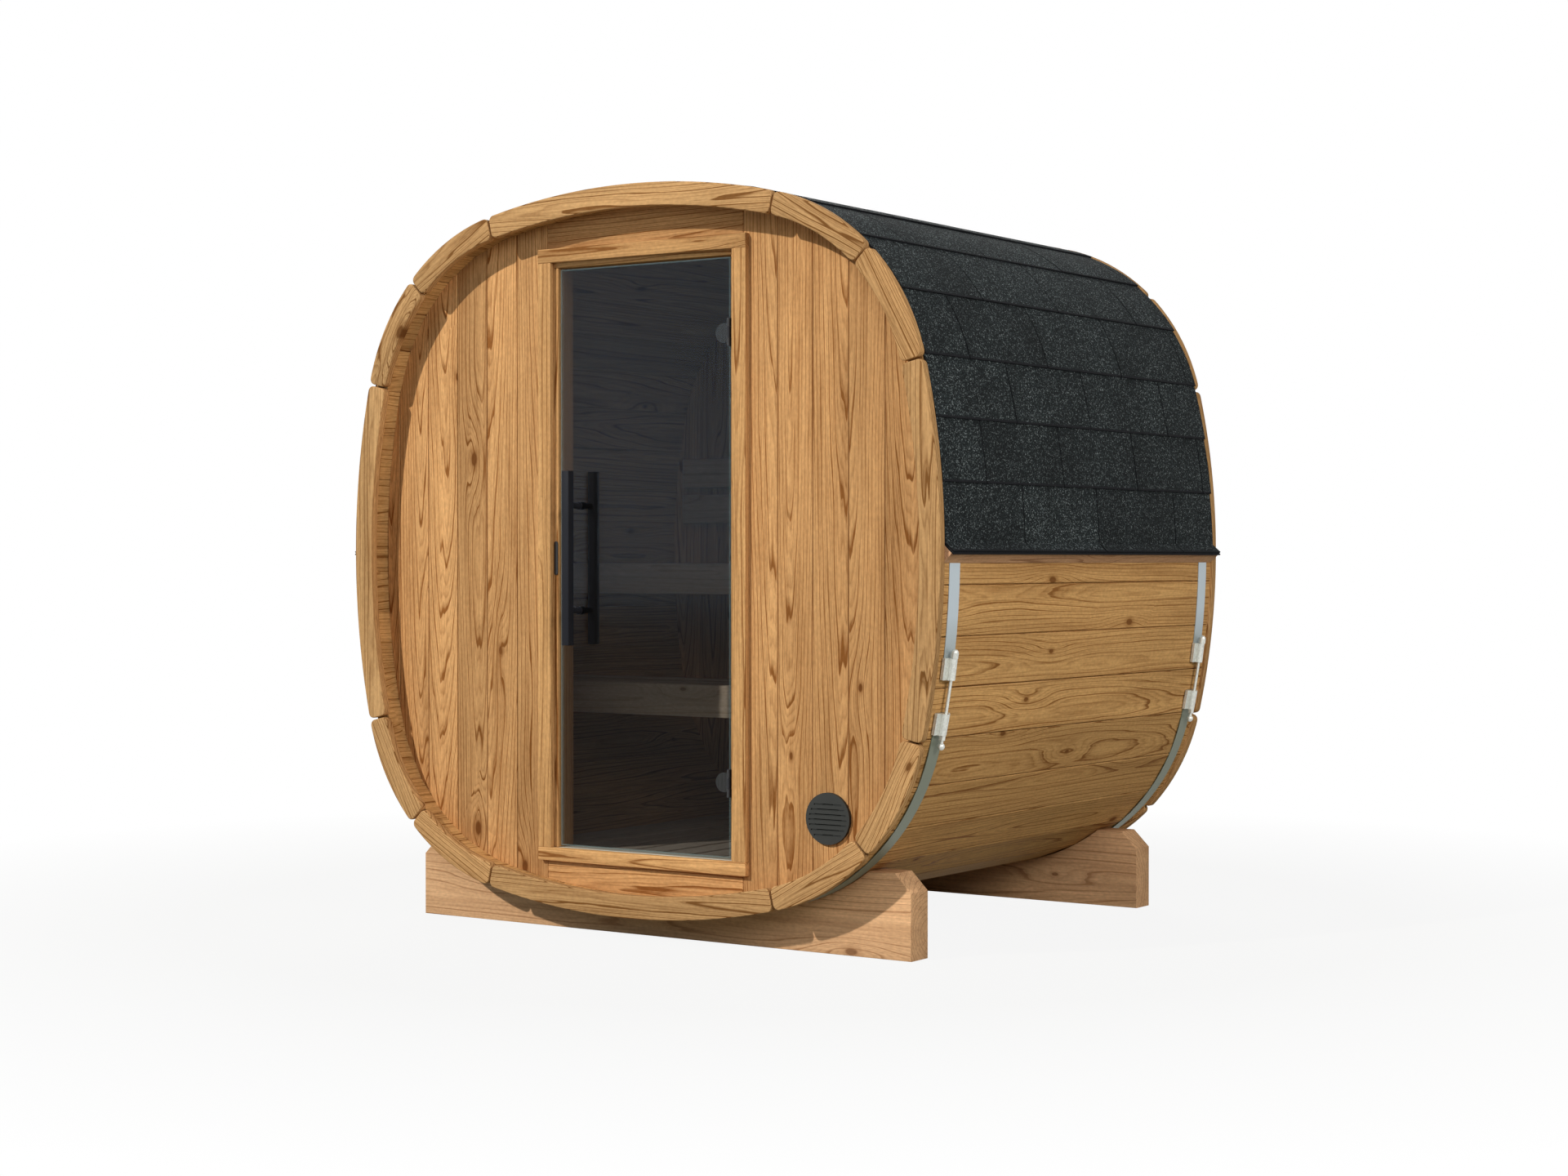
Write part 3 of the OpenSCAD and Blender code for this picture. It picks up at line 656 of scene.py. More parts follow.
STAVE_WOOD = wood("stave_pine", (0.63, 0.365, 0.142, 1), (0.24, 0.100, 0.027, 1), (0.13, 0.050, 0.016, 1))
WALL_WOOD = wood("wall_pine", (0.67, 0.370, 0.153, 1), (0.25, 0.094, 0.024, 1), (0.14, 0.048, 0.015, 1),
                 wander=0.8)
TRIM_WOOD = wood("trim_pine", (0.58, 0.341, 0.148, 1), (0.20, 0.086, 0.025, 1), (0.12, 0.048, 0.016, 1),
                 ring=0.0066, wander=0.7, contrast=1.3)
FRAME_WOOD = wood("door_frame_pine", (0.66, 0.372, 0.152, 1), (0.25, 0.100, 0.028, 1),
                  (0.14, 0.052, 0.018, 1), wander=0.6)
SILL_WOOD = wood("threshold_ash", (0.78, 0.74, 0.62, 1), (0.60, 0.54, 0.42, 1), (0.24, 0.13, 0.06, 1),
                 contrast=0.7)
CRADLE_WOOD = wood("cradle_spruce", (0.65, 0.393, 0.211, 1), (0.36, 0.185, 0.087, 1),
                   (0.16, 0.072, 0.034, 1), ring=0.014, knots=0.9, contrast=0.8)
BENCH_WOOD = wood("bench_aspen", (0.84, 0.72, 0.56, 1), (0.62, 0.48, 0.33, 1), (0.24, 0.13, 0.06, 1),
                  contrast=0.7)
FLOOR_WOOD = wood("floor_aspen", (0.66, 0.58, 0.47, 1), (0.44, 0.36, 0.27, 1), (0.20, 0.12, 0.06, 1),
                  contrast=0.7)
BATTEN_WOOD = wood("batten_pine", (0.60, 0.358, 0.208, 1), (0.33, 0.172, 0.090, 1), (0.13, 0.06, 0.03, 1))
SHINGLE = shingle_material("shingle_granules")
# Dark felt for the shingles' cut edges, which also paints the shade along the laps and in the slits
SHINGLE_EDGE_AND_SHADE = shingle_material("shingle_edge_and_painted_shade", edge=True)
BAND_STEEL = band_metal("galvanised_band")
CLAMP_STEEL = clamp_metal("galvanised_clamp")
BLACK_METAL = coating("black_coating", (0.016, 0.0165, 0.0205), 0.50, shine=0.08)
DARK_STEEL = coating("hinge_black", (0.020, 0.020, 0.021), 0.40, shine=0.35)
HINGE_STEEL = hinge_metal("hinge_steel")
VENT_PLASTIC = coating("vent_plastic", (0.030, 0.031, 0.028), 0.48)
GLASS = tinted_glass("tinted_glass")


def dress(piece, nodes, body="cabin"):
    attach(piece, body)
    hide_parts(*nodes)


def paint(node, material):
    data = frame["nodes"][node].data
    data.materials.clear()
    data.materials.append(material)


# Staves

STAVE_COUNT = 50
STAVE_EASE = 0.0015
STAVE_SLOT = 0.0014
SLOT_DEPTH = 0.006
STAVE_GAP = 0.00025
FIRST_JOINT = -0.0877
PANELS = (
    "barrel_right", "barrel_upper_right", "barrel_top", "barrel_upper_left",
    "barrel_left", "barrel_lower_left", "barrel_bottom", "barrel_lower_right",
)


def panel_of(s):
    """The barrel panel that a place on the staves' outer face belongs to."""
    half_side = (SIDE_R - STAVE_OFF) * JOIN
    corner = (CORNER_R - STAVE_OFF) * (math.pi / 2 - 2 * JOIN)
    quarter = 2 * half_side + corner
    s = (s + half_side) % (4 * quarter)
    turn = int(s / quarter)
    return PANELS[2 * turn + (1 if s - turn * quarter > 2 * half_side else 0)]


def staves():
    pitch = ring_length(STAVE_OFF) / STAVE_COUNT
    meshes = {name: Mesh() for name in PANELS}
    for i in range(STAVE_COUNT):
        s0 = FIRST_JOINT + i * pitch
        p0, n0 = ring_point(s0, STAVE_OFF)
        p1, n1 = ring_point(s0 + pitch, STAVE_OFF)
        q0 = p0 - n0 * STAVE_T
        q1 = p1 - n1 * STAVE_T
        up = (p1 - p0).normalized()
        gap = up * STAVE_GAP
        slot = up * STAVE_SLOT
        ease = up * STAVE_EASE
        d0 = (q0 - p0).normalized()
        d1 = (q1 - p1).normalized()
        outline = [
            p0 + gap + d0 * SLOT_DEPTH, p0 + slot + d0 * SLOT_DEPTH,
            p0 + slot + d0 * STAVE_EASE, p0 + slot + ease,
            p1 - slot - ease, p1 - slot + d1 * STAVE_EASE,
            p1 - slot + d1 * SLOT_DEPTH, p1 - gap + d1 * SLOT_DEPTH,
            q1 - gap - d1 * STAVE_EASE, q1 - gap - ease,
            q0 + gap + ease, q0 + gap - d0 * STAVE_EASE,
        ]
        middle = (p0 + p1 + q0 + q1) / 4
        grain = Grain((0, 1, 0), (up.x, 0, up.y), (middle.x, 0, middle.y))
        mesh = meshes[panel_of(s0 + pitch / 2)]
        prism(mesh, outline, STAVE_Y0, STAVE_Y1, across_y, grain, bevel=0)
    for name, mesh in meshes.items():
        piece = mesh.build("staves_" + name[7:], [STAVE_WOOD])
        dress(piece, [name])


# End trims

TRIM_GAP = 0.006
TRIM_ROUND = 0.016
TRIM_EASE = 0.003
# Length of one step along a board's curve, and how near to its ends the steps come
TRIM_STEP = 0.03
TRIM_SKIP = TRIM_ROUND * 1.25
ROUND_STEPS = 5


def rounded(outline, corners, r):
    """The outline with the numbered corners rounded by r."""
    points = []
    count = len(outline)
    for i, p in enumerate(outline):
        p = Vector(p)
        if i not in corners:
            points.append(p)
            continue
        a = (Vector(outline[i - 1]) - p).normalized()
        b = (Vector(outline[(i + 1) % count]) - p).normalized()
        angle = a.angle(b)
        reach = r / math.tan(angle / 2)
        centre = p + (a + b).normalized() * (r / math.sin(angle / 2))
        start = p + a * reach - centre
        stop = p + b * reach - centre
        sign = 1 if start.x * stop.y - start.y * stop.x > 0 else -1
        for t in spaced(0.0, sign * (math.pi - angle), ROUND_STEPS):
            x = start.x * math.cos(t) - start.y * math.sin(t)
            y = start.x * math.sin(t) + start.y * math.cos(t)
            points.append(centre + Vector((x, y)))
    return points


def trim_outline(centre, radius, a0, a1):
    """Outline of a trim board between two angles, with rounded ends."""
    angles = spaced(a0, a1, max(8, int((a1 - a0) * radius / TRIM_STEP)))

    def curve(r):
        kept = [a for a in angles if a in (a0, a1) or min(a - a0, a1 - a) * r > TRIM_SKIP]
        return [centre + Vector((r * math.cos(a), r * math.sin(a))) for a in kept]

    outer = curve(radius)
    points = outer + curve(radius - TRIM_W)[::-1]
    last = len(outer) - 1
    return rounded(points, (0, last, last + 1, len(points) - 1), TRIM_ROUND)


def end_trim(name, y0, y1):
    mesh = Mesh()
    for q in range(4):
        turn = q * math.pi / 2
        half = JOIN - TRIM_GAP / 2 / SIDE_R
        centre = Vector((-SIDE_SHIFT * math.cos(turn), AXIS_Z - SIDE_SHIFT * math.sin(turn)))
        boards = [(centre, SIDE_R, turn - half, turn + half)]
        gap = TRIM_GAP / 2 / CORNER_R
        diagonal = turn + math.pi / 4
        centre = Vector((CORNER_SHIFT * math.sqrt(2) * math.cos(diagonal),
                         AXIS_Z + CORNER_SHIFT * math.sqrt(2) * math.sin(diagonal)))
        boards.append((centre, CORNER_R, turn + JOIN + gap, diagonal - gap))
        boards.append((centre, CORNER_R, diagonal + gap, turn + math.pi / 2 - JOIN - gap))
        for centre, radius, a0, a1 in boards:
            middle = (a0 + a1) / 2
            along = (-math.sin(middle), 0, math.cos(middle))
            across = (math.cos(middle), 0, math.sin(middle))
            spot = centre + Vector((math.cos(middle), math.sin(middle))) * (radius - TRIM_W / 2)
            grain = Grain(along, across, (spot.x, (y0 + y1) / 2, spot.y))
            outline = trim_outline(centre, radius, a0, a1)
            prism(mesh, outline, y0, y1, across_y, grain, TRIM_EASE, steps=3)
    piece = mesh.build(name + "_boards", [TRIM_WOOD])
    dress(piece, [name])


# End walls

WALL_COVER = 0.115
WALL_LEAN = 0.030
WALL_OFF = INNER_OFF + SEAT_GAP
WALL_EDGE_GAP = 0.002
WALL_EDGE = HALF_SPAN - WALL_OFF - WALL_EDGE_GAP
# Distances of a wall's outer and inner face from the barrel's middle
WALL_FACE_Y = 0.743
WALL_BACK_Y = 0.701
GROOVE = 0.0026
JOINT = 0.0018
JOINT_DEPTH = 0.007
# The bay of the door: half its width, and its top and bottom
BAY_HALF = 0.3455
BAY_TOP = 1.9455
BAY_BOTTOM = 0.2075
VENT_AT = (0.630, 0.372)
VENT_BORE = 0.055
# A board that the vent's bore cuts by less than this is left whole
BORE_TOUCH = 0.002
# The last board of a row is at most this much wider than the others
LAST_BOARD = 1.25
# Steps along the curved end of a wall board, the bore and the boards over and under the door
END_STEPS = 8
BORE_STEPS = 24
BAY_STEPS = 16


def wall_board(mesh, x0, x1, y0, y1, bore=None):
    """An upright wall board cut to the barrel, with an open joint beside it on the outer face."""
    grain = Grain((0, 0, 1), (1, 0, 0), ((x0 + x1) / 2, y0, AXIS_Z), lean=WALL_LEAN)
    outside = y0 if abs(y0) > abs(y1) else y1
    inward = 1 if outside < 0 else -1
    outer = sorted((outside, outside + inward * (JOINT_DEPTH + GROOVE)))
    inner = sorted((outside + inward * JOINT_DEPTH, y1 if outside == y0 else y0))
    for (w0, w1), slack, bevel in ((outer, JOINT / 2, GROOVE), (inner, 0.0, 0.0)):
        xs = spaced(x0 + slack, x1 - slack, END_STEPS)
        low = [(x, AXIS_Z - half_height(WALL_OFF, x)) for x in xs]
        high = [(x, AXIS_Z + half_height(WALL_OFF, x)) for x in xs]
        parts = [low + high[::-1]] if bore is None else bored_outlines(low, high, *bore)
        for part in parts:
            prism(mesh, part, w0, w1, across_y, grain, bevel)


def bored_outlines(low, high, cx, cz):
    """The part of a board under the vent's bore and the part over it."""
    def arc(xs, sign):
        return [(x, cz + sign * math.sqrt(max(0.0, VENT_BORE ** 2 - (x - cx) ** 2))) for x in xs]

    xs = spaced(low[0][0], low[-1][0], BORE_STEPS)
    under = low + arc(xs, -1)[::-1]
    over = arc(xs, 1) + high[::-1]
    return under, over


def spread(a, b, cover):
    """Edges of whole boards of about the given cover between a and b."""
    return spaced(a, b, max(1, round((b - a) / cover)))


def board_edges(start, end, cover):
    """Board edges from start towards end, with a last board that takes up the rest."""
    edges = [start]
    step = cover if end > start else -cover
    while abs(end - edges[-1]) > cover * LAST_BOARD:
        edges.append(edges[-1] + step)
    edges.append(end)
    return edges


def front_wall():
    y0, y1 = -WALL_FACE_Y, -WALL_BACK_Y
    for side, sign in (("left", -1), ("right", 1)):
        mesh = Mesh()
        edges = board_edges(sign * BAY_HALF, sign * WALL_EDGE, WALL_COVER)
        for a, b in zip(edges, edges[1:]):
            x0, x1 = sorted((a, b))
            cut = min(x1, VENT_AT[0] + VENT_BORE) - max(x0, VENT_AT[0] - VENT_BORE)
            wall_board(mesh, x0, x1, y0, y1, VENT_AT if cut > BORE_TOUCH else None)
        dress(mesh.build("front_boards_" + side, [WALL_WOOD]), ["front_wall_" + side])
    for name, z_low, z_high in (("header", BAY_TOP, None), ("sill", None, BAY_BOTTOM)):
        mesh = Mesh()
        xs = spaced(-BAY_HALF, BAY_HALF, BAY_STEPS)
        low = [(x, AXIS_Z - half_height(WALL_OFF, x) if z_low is None else z_low) for x in xs]
        high = [(x, AXIS_Z + half_height(WALL_OFF, x) if z_high is None else z_high) for x in xs]
        grain = Grain((1, 0, 0), (0, 0, 1), (0, y0, low[BAY_STEPS // 2][1]))
        prism(mesh, low + high[::-1], y0, y1, across_y, grain, GROOVE)
        dress(mesh.build("front_board_" + name, [WALL_WOOD]), ["front_wall_" + name])


def rear_wall():
    mesh = Mesh()
    edges = spread(-WALL_EDGE, WALL_EDGE, WALL_COVER)
    for x0, x1 in zip(edges, edges[1:]):
        wall_board(mesh, x0, x1, WALL_BACK_Y, WALL_FACE_Y)
    dress(mesh.build("rear_boards", [WALL_WOOD]), ["rear_wall"])


# Door frame

FRAME_EASE = 0.002


def door_frame():
    boards = {
        "casing_left": "z", "casing_right": "z", "casing_head": "x", "casing_foot": "x",
        "jamb_left": "z", "jamb_right": "z", "jamb_head": "x", "threshold": "x",
    }
    for node, along in boards.items():
        low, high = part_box(node)
        mesh = Mesh()
        board(mesh, low, high, along, FRAME_EASE)
        timber = SILL_WOOD if node == "threshold" else FRAME_WOOD
        dress(mesh.build(node + "_board", [timber]), [node])


# Cradles

CRADLE_END_H = 0.182
CRADLE_CHAMFER = 0.050
CRADLE_STEPS = 48
CRADLE_GRAIN_Z = 0.1


def cradle(node):
    low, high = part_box(node)
    half_w = high.x
    top = CRADLE_END_H + CRADLE_CHAMFER
    off = STAVE_OFF - SEAT_GAP
    edge_x = half_width(off, top)
    outline = [(-half_w, 0.0), (half_w, 0.0), (half_w, CRADLE_END_H), (half_w - CRADLE_CHAMFER, top)]
    outline += [(x, AXIS_Z - half_height(off, x)) for x in spaced(edge_x, -edge_x, CRADLE_STEPS)]
    outline += [(CRADLE_CHAMFER - half_w, top), (-half_w, CRADLE_END_H)]
    mesh = Mesh()
    grain = Grain((1, 0, 0), (0, 0, 1), (0, low.y, CRADLE_GRAIN_Z), depth=0.10, side=0.03)
    prism(mesh, outline, low.y, high.y, across_y, grain, BOARD_EASE)
    dress(mesh.build(node + "_timber", [CRADLE_WOOD]), [node])


# Inside

BOARD_T = 0.028
BOARD_W = 0.090
BOARD_GAP = 0.012
BACK_BOARD_H = 0.097
BEARER_W = 0.045
BEARER_H = 0.060
# Least height of a floor bearer at its ends
BEARER_LIP = 0.004
BEARER_STEPS = 24
# Where the outer bearers stand, as a share of half the width
BEARER_AT = 0.75


def rows_of_boards(start, end):
    """Places of boards laid side by side from start to end, with about the usual gap."""
    count = int((end - start + BOARD_GAP) / (BOARD_W + BOARD_GAP))
    return spaced(start, end - BOARD_W, count - 1)


def floor_boards():
    low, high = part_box("floor_deck")
    mesh = Mesh()
    under = high.z - BOARD_T
    for x in rows_of_boards(low.x, high.x):
        board(mesh, (x, low.y, under), (x + BOARD_W, high.y, high.z), "y")
    span = half_width(WALL_OFF, under)
    xs = spaced(-span, span, BEARER_STEPS)
    outline = [(-span, under - BEARER_LIP)]
    outline += [(x, AXIS_Z - half_height(WALL_OFF, x)) for x in xs[1:-1]]
    outline += [(span, under - BEARER_LIP), (span, under), (-span, under)]
    for y in (low.y, (low.y + high.y - BEARER_W) / 2, high.y - BEARER_W):
        grain = Grain((1, 0, 0), (0, 0, 1), (0, y, under))
        prism(mesh, outline, y, y + BEARER_W, across_y, grain, bevel=0)
    dress(mesh.build("floor_boards", [FLOOR_WOOD]), ["floor_deck"])


def bench_boards(node):
    low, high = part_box(node)
    mesh = Mesh()
    under = high.z - BOARD_T
    back = low.y + BOARD_T
    fascia_half = half_width(WALL_OFF, low.z)
    seat_half = half_width(WALL_OFF, under)
    board(mesh, (-fascia_half, low.y, low.z), (fascia_half, back, high.z), "x")
    for y in rows_of_boards(back + BOARD_GAP, high.y):
        board(mesh, (-seat_half, y, under), (seat_half, y + BOARD_W, high.z), "x", face="z")
    for x in (-BEARER_AT * fascia_half, 0, BEARER_AT * fascia_half):
        board(mesh, (x - BEARER_W / 2, back, under - BEARER_H), (x + BEARER_W / 2, high.y, under), "y")
    dress(mesh.build(node + "_boards", [BENCH_WOOD]), [node])


def backrest_boards():
    low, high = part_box("backrest")
    mesh = Mesh()
    back = low.y + BOARD_T
    for z in (low.z, high.z - BACK_BOARD_H):
        board(mesh, (low.x, low.y, z), (high.x, back, z + BACK_BOARD_H), "x")
    for x in (-BEARER_AT * high.x, 0, BEARER_AT * high.x):
        board(mesh, (x - BEARER_W / 2, back, low.z), (x + BEARER_W / 2, high.y, high.z), "z")
    dress(mesh.build("backrest_boards", [BENCH_WOOD]), ["backrest"])


# Roof

# Lower edges of the courses above the eave, along the slope, and the slits between their tabs
COURSES = (0.161, 0.3295, 0.4968, 0.684, 0.875, 1.065, 1.255, 1.445)
LAST_COURSE = 0.19
COURSE_LAP = 0.03
SLITS_ODD = (-0.379, 0.051, 0.542)
SLITS_EVEN = (-0.574, -0.145, 0.303, 0.742)
SLIT_W = 0.005
# How far the felt in a slit lies back from the tabs' edge, and below them at its two ends
SLIT_BACK = 0.001
SLIT_LOW = 0.0022
SLIT_HIGH = 0.0012
SHINGLE_T = 0.0045
TAB_STEP = 0.02
# Height of a tab's face over the staves at its lower and its upper edge, and the scatter of the first
LAP_LOW = 0.0095
LAP_HIGH = 0.0036
LAP_SCATTER = (-0.0004, 0.0006)
# Width of the painted shade along each tab's lower edge: a strip of the dark edge felt on its top
LAP_SHADE_W = 0.006
LEAST_LIFT = 0.0004
# Starter strip under the lowest course: how far it hangs out, where it ends, its height and its tone
STARTER_DROP = 0.005
STARTER_TOP = 0.05
STARTER_LIFT = 0.0042
STARTER_TONE = 0.3
# Ridge strip: half its width, its pieces, their lap, and the heights of their four edges over the staves
RIDGE_HALF = 0.155
RIDGE_PIECES = 8
RIDGE_LAP = 0.03
RIDGE_STEPS = 12
RIDGE_FRONT = (0.0110, 0.0075)
RIDGE_REAR = (0.0080, 0.0055)
# The batten under the eave, which the lowest course follows
BATTEN_H = 0.050
BATTEN_W = 0.028
BATTEN_EASE = 0.0008
FLARE = (BATTEN_W, -BATTEN_H / 2)
FLARE_EASE = 0.012
# The roof ends this far inside the trims
ROOF_INSET = 0.0005
ROOF_Y0 = STAVE_Y0 + ROOF_INSET
ROOF_Y1 = STAVE_Y1 - ROOF_INSET
# Place of the eave on the ring, from the right side's middle
EAVE_AT = (SIDE_R - STAVE_OFF) * EAVE_ANGLE
# Material slots of the shingles: granules, and dark felt for the cut edges and the painted shade
TOP = 0
EDGE_AND_SHADE = 1


def roof_path(d, lift, mirror):
    """A point d metres up the slope from the eave, lifted off the staves. Below the eave it flares out."""
    p, n = ring_point(EAVE_AT + max(0.0, d), STAVE_OFF)
    if d >= 0:
        p = p + n * lift
    else:
        run = Vector(FLARE).normalized()
        out = Vector((-run.y, run.x))
        ease = min(1.0, -d / FLARE_EASE)
        p = p + run * -d + (n * (1 - ease) + out * ease).normalized() * lift
    return (-p.x, p.y) if mirror else (p.x, p.y)


def felt(mesh, rows, painted_shade_top):
    """Faces of a strip from its rows of four points. Of its top, the first few rows are dark edge felt,
    painted shade along the strip's lower edge.
    """
    for k, (a, b) in enumerate(zip(rows, rows[1:])):
        mesh.face((a[0], a[1], b[1], b[0]), EDGE_AND_SHADE if k < painted_shade_top else TOP)
        for i, j in ((1, 2), (2, 3), (3, 0)):
            mesh.face((a[i], a[j], b[j], b[i]), EDGE_AND_SHADE)
    mesh.face(list(reversed(rows[0])), EDGE_AND_SHADE)
    mesh.face(rows[-1], EDGE_AND_SHADE)


def shingle_tab(mesh, d0, d1, y0, y1, low_lift, high_lift, mirror, tone, painted_shade_top=False):
    """One tab, from its exposed lower edge d0 to its covered upper edge d1. The first strip of its top is
    painted shade in the dark edge felt, and with the last argument set the whole top is.
    """
    length = d1 - d0
    steps = max(4, int(length / TAB_STEP))
    places = spaced(0.0, 1.0, steps)
    places.insert(1, LAP_SHADE_W / length)
    rows = []
    for t in places:
        lift = low_lift + (high_lift - low_lift) * t
        row = []
        for y, h in ((y0, lift), (y1, lift), (y1, lift - SHINGLE_T), (y0, lift - SHINGLE_T)):
            x, z = roof_path(d0 + length * t, max(LEAST_LIFT, h), mirror)
            row.append(mesh.vert((x, y, z), tone=tone))
        rows.append(row)
    felt(mesh, rows, len(rows) if painted_shade_top else 1)


def roof_slope(node, mirror):
    mesh = Mesh()
    tip = -math.hypot(*FLARE)
    shingle_tab(mesh, tip - STARTER_DROP, STARTER_TOP, ROOF_Y0, ROOF_Y1,
                STARTER_LIFT, STARTER_LIFT, mirror, STARTER_TONE)
    starts = (tip, *COURSES, COURSES[-1] + LAST_COURSE)
    for i, (d0, top) in enumerate(zip(starts, starts[1:])):
        d1 = top + COURSE_LAP
        slits = SLITS_ODD if i % 2 == 0 else SLITS_EVEN
        ends = (ROOF_Y0, *slits, ROOF_Y1)
        for a, b in zip(ends, ends[1:]):
            ya = a + (SLIT_W / 2 if a != ROOF_Y0 else 0)
            yb = b - (SLIT_W / 2 if b != ROOF_Y1 else 0)
            lift = LAP_LOW + rng.uniform(*LAP_SCATTER)
            shingle_tab(mesh, d0, d1, ya, yb, lift, LAP_HIGH, mirror, rng.random())
        # The felt in each slit is dark all over: painted shade in the gap between the tabs
        for y in slits:
            shingle_tab(mesh, d0 + SLIT_BACK, d1, y - SLIT_W / 2, y + SLIT_W / 2,
                        LAP_LOW - SLIT_LOW, LAP_HIGH - SLIT_HIGH, mirror, 0.5, painted_shade_top=True)
    dress(mesh.build(node + "_shingles", [SHINGLE, SHINGLE_EDGE_AND_SHADE]), [node])


def roof_ridge():
    """Ridge strip over the top courses, in pieces whose front edge laps over the piece before."""
    mesh = Mesh()
    top = ring_length(STAVE_OFF) / 4
    length = (STAVE_Y1 - STAVE_Y0) / RIDGE_PIECES
    for i in range(RIDGE_PIECES):
        y0 = STAVE_Y0 + i * length
        y1 = min(STAVE_Y1, y0 + length + RIDGE_LAP)
        edges = ((y0, RIDGE_FRONT[0]), (y1, RIDGE_REAR[0]), (y1, RIDGE_REAR[1]), (y0, RIDGE_FRONT[1]))
        tone = rng.random()
        rows = []
        for s in spaced(top - RIDGE_HALF, top + RIDGE_HALF, RIDGE_STEPS):
            p, n = ring_point(s, STAVE_OFF)
            row = []
            for y, h in edges:
                q = p + n * h
                row.append(mesh.vert((q.x, y, q.y), tone=tone))
            rows.append(row)
        felt(mesh, rows, 0)
    dress(mesh.build("ridge_shingles", [SHINGLE, SHINGLE_EDGE_AND_SHADE]), ["roof_ridge"])


def eave_batten(node, mirror):
    mesh = Mesh()
    cos, sin = math.cos(EAVE_ANGLE), math.sin(EAVE_ANGLE)
    r0 = SIDE_R - STAVE_OFF + SEAT_GAP
    points = []
    for x, z in ((r0, 0.0), (r0, -BATTEN_H), (r0 + BATTEN_W, -BATTEN_H / 2)):
        wx = x * cos - z * sin - SIDE_SHIFT
        wz = x * sin + z * cos + AXIS_Z
        points.append((-wx if mirror else wx, wz))
    if mirror:
        points.reverse()
    grain = Grain((0, 1, 0), (0, 0, 1), (points[0][0], 0, points[0][1]))
    prism(mesh, points, ROOF_Y0, ROOF_Y1, across_y, grain, BATTEN_EASE, steps=1)
    dress(mesh.build(node + "_wood", [BATTEN_WOOD]), [node])


# Fittings

LATHE_STEPS = 32
# Handle: half its thickness, the rounding of its edges and ends, and where its two stand-offs are
HANDLE_HALF = 0.0125
HANDLE_ROUND = 0.0025
HANDLE_EASE = 0.0018
STUD_REACH = 0.150
# A stand-off starts inside the bar and ends in a collar, given as radii and distances from its seat
STUD_R = 0.0085
STUD_SINK = 0.004
STUD_COLLAR = ((STUD_R, 0.008), (0.011, 0.0075), (0.011, 0.0015), (0.0105, 0.0002))
# Middle of each bar, and the seat of its stand-offs on the glass, in Y
OUTER_HANDLE_Y = (-0.793, -0.738)
INNER_HANDLE_Y = (-0.675, -0.730)


def lathe(mesh, profile, place):
    """A turned form: the profile gives radius and height pairs."""
    rings = []
    for r, h in profile:
        ring = []
        for k in range(LATHE_STEPS):
            a = 2 * math.pi * k / LATHE_STEPS
            ring.append(mesh.vert(place(r * math.cos(a), r * math.sin(a), h)))
        rings.append(ring)
    skin(mesh, rings)


def handle(node, bar_y, seat_y):
    low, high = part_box(node)
    x = (low.x + high.x) / 2
    mesh = Mesh()
    grain = Grain((0, 0, 1), (1, 0, 0), (x, bar_y, 1))
    outline = rounded_rect(x - HANDLE_HALF, x + HANDLE_HALF, bar_y - HANDLE_HALF, bar_y + HANDLE_HALF,
                           HANDLE_ROUND, steps=3)
    prism(mesh, outline, low.z, high.z, across_z, grain, HANDLE_EASE)
    middle = (low.z + high.z) / 2
    sign = 1 if seat_y > bar_y else -1
    face = bar_y + sign * HANDLE_HALF
    reach = abs(seat_y - face)
    profile = [(STUD_R, -STUD_SINK)] + [(r, reach - gap) for r, gap in STUD_COLLAR]
    for z in (middle - STUD_REACH, middle + STUD_REACH):
        lathe(mesh, profile, lambda u, v, h, z=z: (x + u, face + sign * h, z + v))
    piece = mesh.build(node + "_bar", [BLACK_METAL])
    dress(piece, [node], "door")


# Build everything

staves()
end_trim("front_trim", FRONT_Y, FRONT_Y + TRIM_T)
end_trim("rear_trim", REAR_Y - TRIM_T, REAR_Y)
front_wall()
rear_wall()
door_frame()
cradle("front_cradle")
cradle("rear_cradle")
floor_boards()
bench_boards("lower_bench")
bench_boards("upper_bench")
backrest_boards()
roof_slope("roof_right", False)
roof_slope("roof_left", True)
roof_ridge()
eave_batten("eave_batten_right", False)
eave_batten("eave_batten_left", True)
handle("outer_handle", *OUTER_HANDLE_Y)
handle("inner_handle", *INNER_HANDLE_Y)
for node in ("front_band", "rear_band"):
    paint(node, BAND_STEEL)
for node in ("front_band_clamp", "rear_band_clamp"):
    paint(node, CLAMP_STEEL)
for node in ("frame_hinges", "strike_plate"):
    paint(node, DARK_STEEL)
paint("glass_hinges", HINGE_STEEL)
paint("vent_cover", VENT_PLASTIC)
paint("door_glass", GLASS)


# Stage, light and camera

FLOOR_HALF = 30.0
# The floor lies a little under the part, so that the two don't share a plane
FLOOR_DROP = 0.0005
# The floor's shading shows a little near the object and is gone further out
SHADE_SPAN = (1.8, 3.6)
NEAR_WHITE = 0.90
WORLD_LIGHT = 0.035
LAMPS_AIM = (0, 0, 1.1)


def white_rays(tree):
    """One for the rays that see the surroundings white: camera, transmission and glossy rays."""
    path = tree.nodes.new("ShaderNodeLightPath")
    seen = path.outputs["Is Camera Ray"]
    for name in ("Is Transmission Ray", "Is Glossy Ray"):
        either = tree.nodes.new("ShaderNodeMath")
        either.operation = "MAXIMUM"
        tree.links.new(seen, either.inputs[0])
        tree.links.new(path.outputs[name], either.inputs[1])
        seen = either.outputs[0]
    return seen


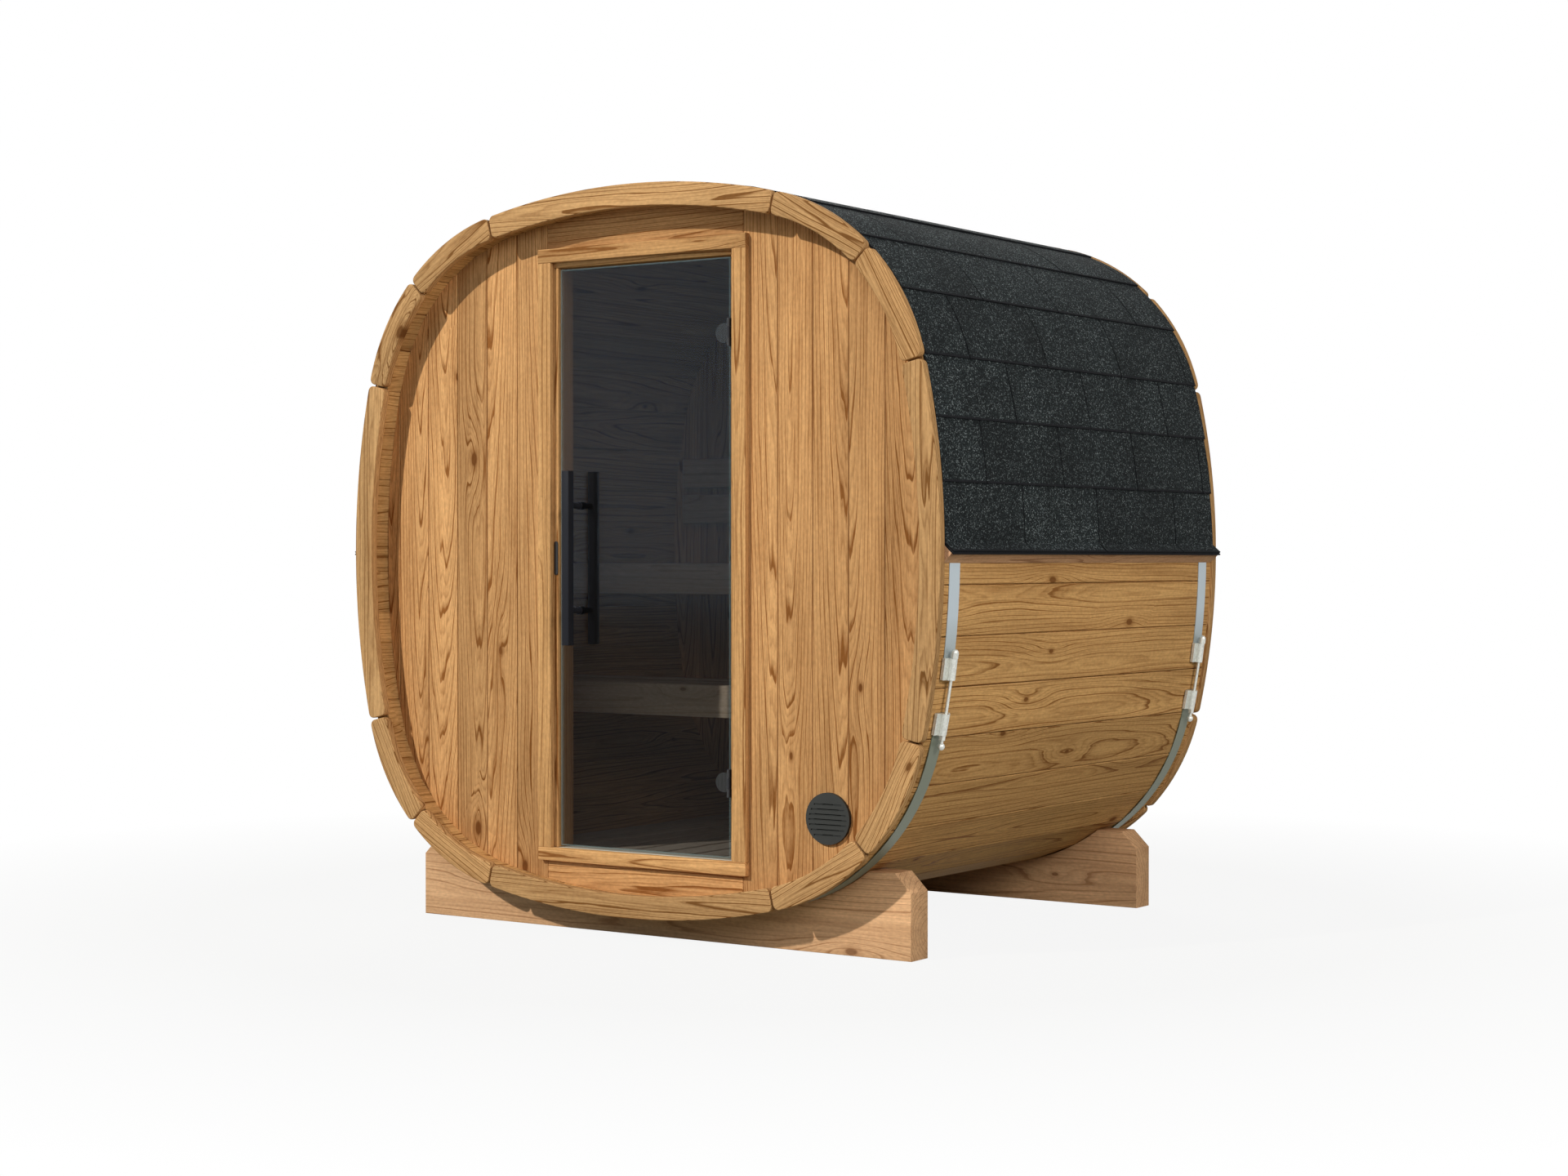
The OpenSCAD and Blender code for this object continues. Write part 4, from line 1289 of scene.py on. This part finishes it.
def stage():
    corners = [(x * FLOOR_HALF, y * FLOOR_HALF, 0) for x, y in ((-1, -1), (1, -1), (1, 1), (-1, 1))]
    data = bpy.data.meshes.new("floor")
    data.from_pydata(corners, [], [(0, 1, 2, 3)])
    floor = bpy.data.objects.new("floor", data)
    floor.location.z = -FLOOR_DROP
    bpy.context.scene.collection.objects.link(floor)
    n = Nodes("floor_white")
    n.set(Base_Color=(0.22, 0.22, 0.18, 1.0), Roughness=0.9)
    far = n.span(n.vector("LENGTH", n.object_point()), *SHADE_SPAN, NEAR_WHITE, 1.0)
    glow = n.add("ShaderNodeEmission")
    mixer = n.add("ShaderNodeMixShader")
    n.put(mixer.inputs[0], n.math("MULTIPLY", white_rays(n.tree), far))
    n.put(mixer.inputs[1], n.shader.outputs[0])
    n.put(mixer.inputs[2], glow.outputs[0])
    n.put(n.tree.nodes["Material Output"].inputs[0], mixer.outputs[0])
    data.materials.append(n.material)


def world():
    scene_world = bpy.data.worlds.new("studio")
    bpy.context.scene.world = scene_world
    scene_world.use_nodes = True
    tree = scene_world.node_tree
    back = tree.nodes["Background"]
    back.inputs[0].default_value = (0.93, 0.96, 1.0, 1.0)
    back.inputs[1].default_value = WORLD_LIGHT
    white = tree.nodes.new("ShaderNodeBackground")
    white.inputs[0].default_value = (1, 1, 1, 1)
    mixer = tree.nodes.new("ShaderNodeMixShader")
    tree.links.new(white_rays(tree), mixer.inputs[0])
    tree.links.new(back.outputs[0], mixer.inputs[1])
    tree.links.new(white.outputs[0], mixer.inputs[2])
    tree.links.new(mixer.outputs[0], tree.nodes["World Output"].inputs[0])


def lamp(name, kind, towards, energy, colour, **settings):
    """A lamp that shines from the given direction at the middle of the object."""
    data = bpy.data.lights.new(name, kind)
    data.energy = energy
    data.color = colour
    for key, value in settings.items():
        setattr(data, key, value)
    light = bpy.data.objects.new(name, data)
    direction = Vector(towards)
    light.location = Vector(LAMPS_AIM) + direction
    light.rotation_euler = direction.to_track_quat("Z", "Y").to_euler()
    bpy.context.scene.collection.objects.link(light)


def camera():
    data = bpy.data.cameras.new("camera")
    data.sensor_width = 36.0
    data.lens = 60.69
    seat = bpy.data.objects.new("camera", data)
    seat.location = (4.536, -6.659, 1.0687)
    seat.rotation_euler = (math.radians(89.37), 0.0, math.radians(34.42))
    bpy.context.scene.collection.objects.link(seat)
    bpy.context.scene.camera = seat


stage()
world()
lamp("sun", "SUN", (-2.6, -6.0, 4.5), 2.62, (1.0, 0.97, 0.92), angle=math.radians(1.5))
lamp("side", "AREA", (7.0, -1.9, 2.7), 265.0, (1.0, 0.98, 0.95), shape="DISK", size=3.0)
lamp("fill", "AREA", (4.3, -6.8, 2.6), 130.0, (0.97, 0.98, 1.0), shape="DISK", size=4.0)
lamp("back", "AREA", (-5.0, 6.0, 3.0), 330.0, (1.0, 0.98, 0.95), shape="DISK", size=4.0)
lamp("softbox", "AREA", (-3.65, -5.5, 0.72), 40.0, (0.55, 0.76, 1.0),
     shape="RECTANGLE", size=2.0, size_y=2.0)
camera()
bpy.context.scene.view_settings.view_transform = "Standard"
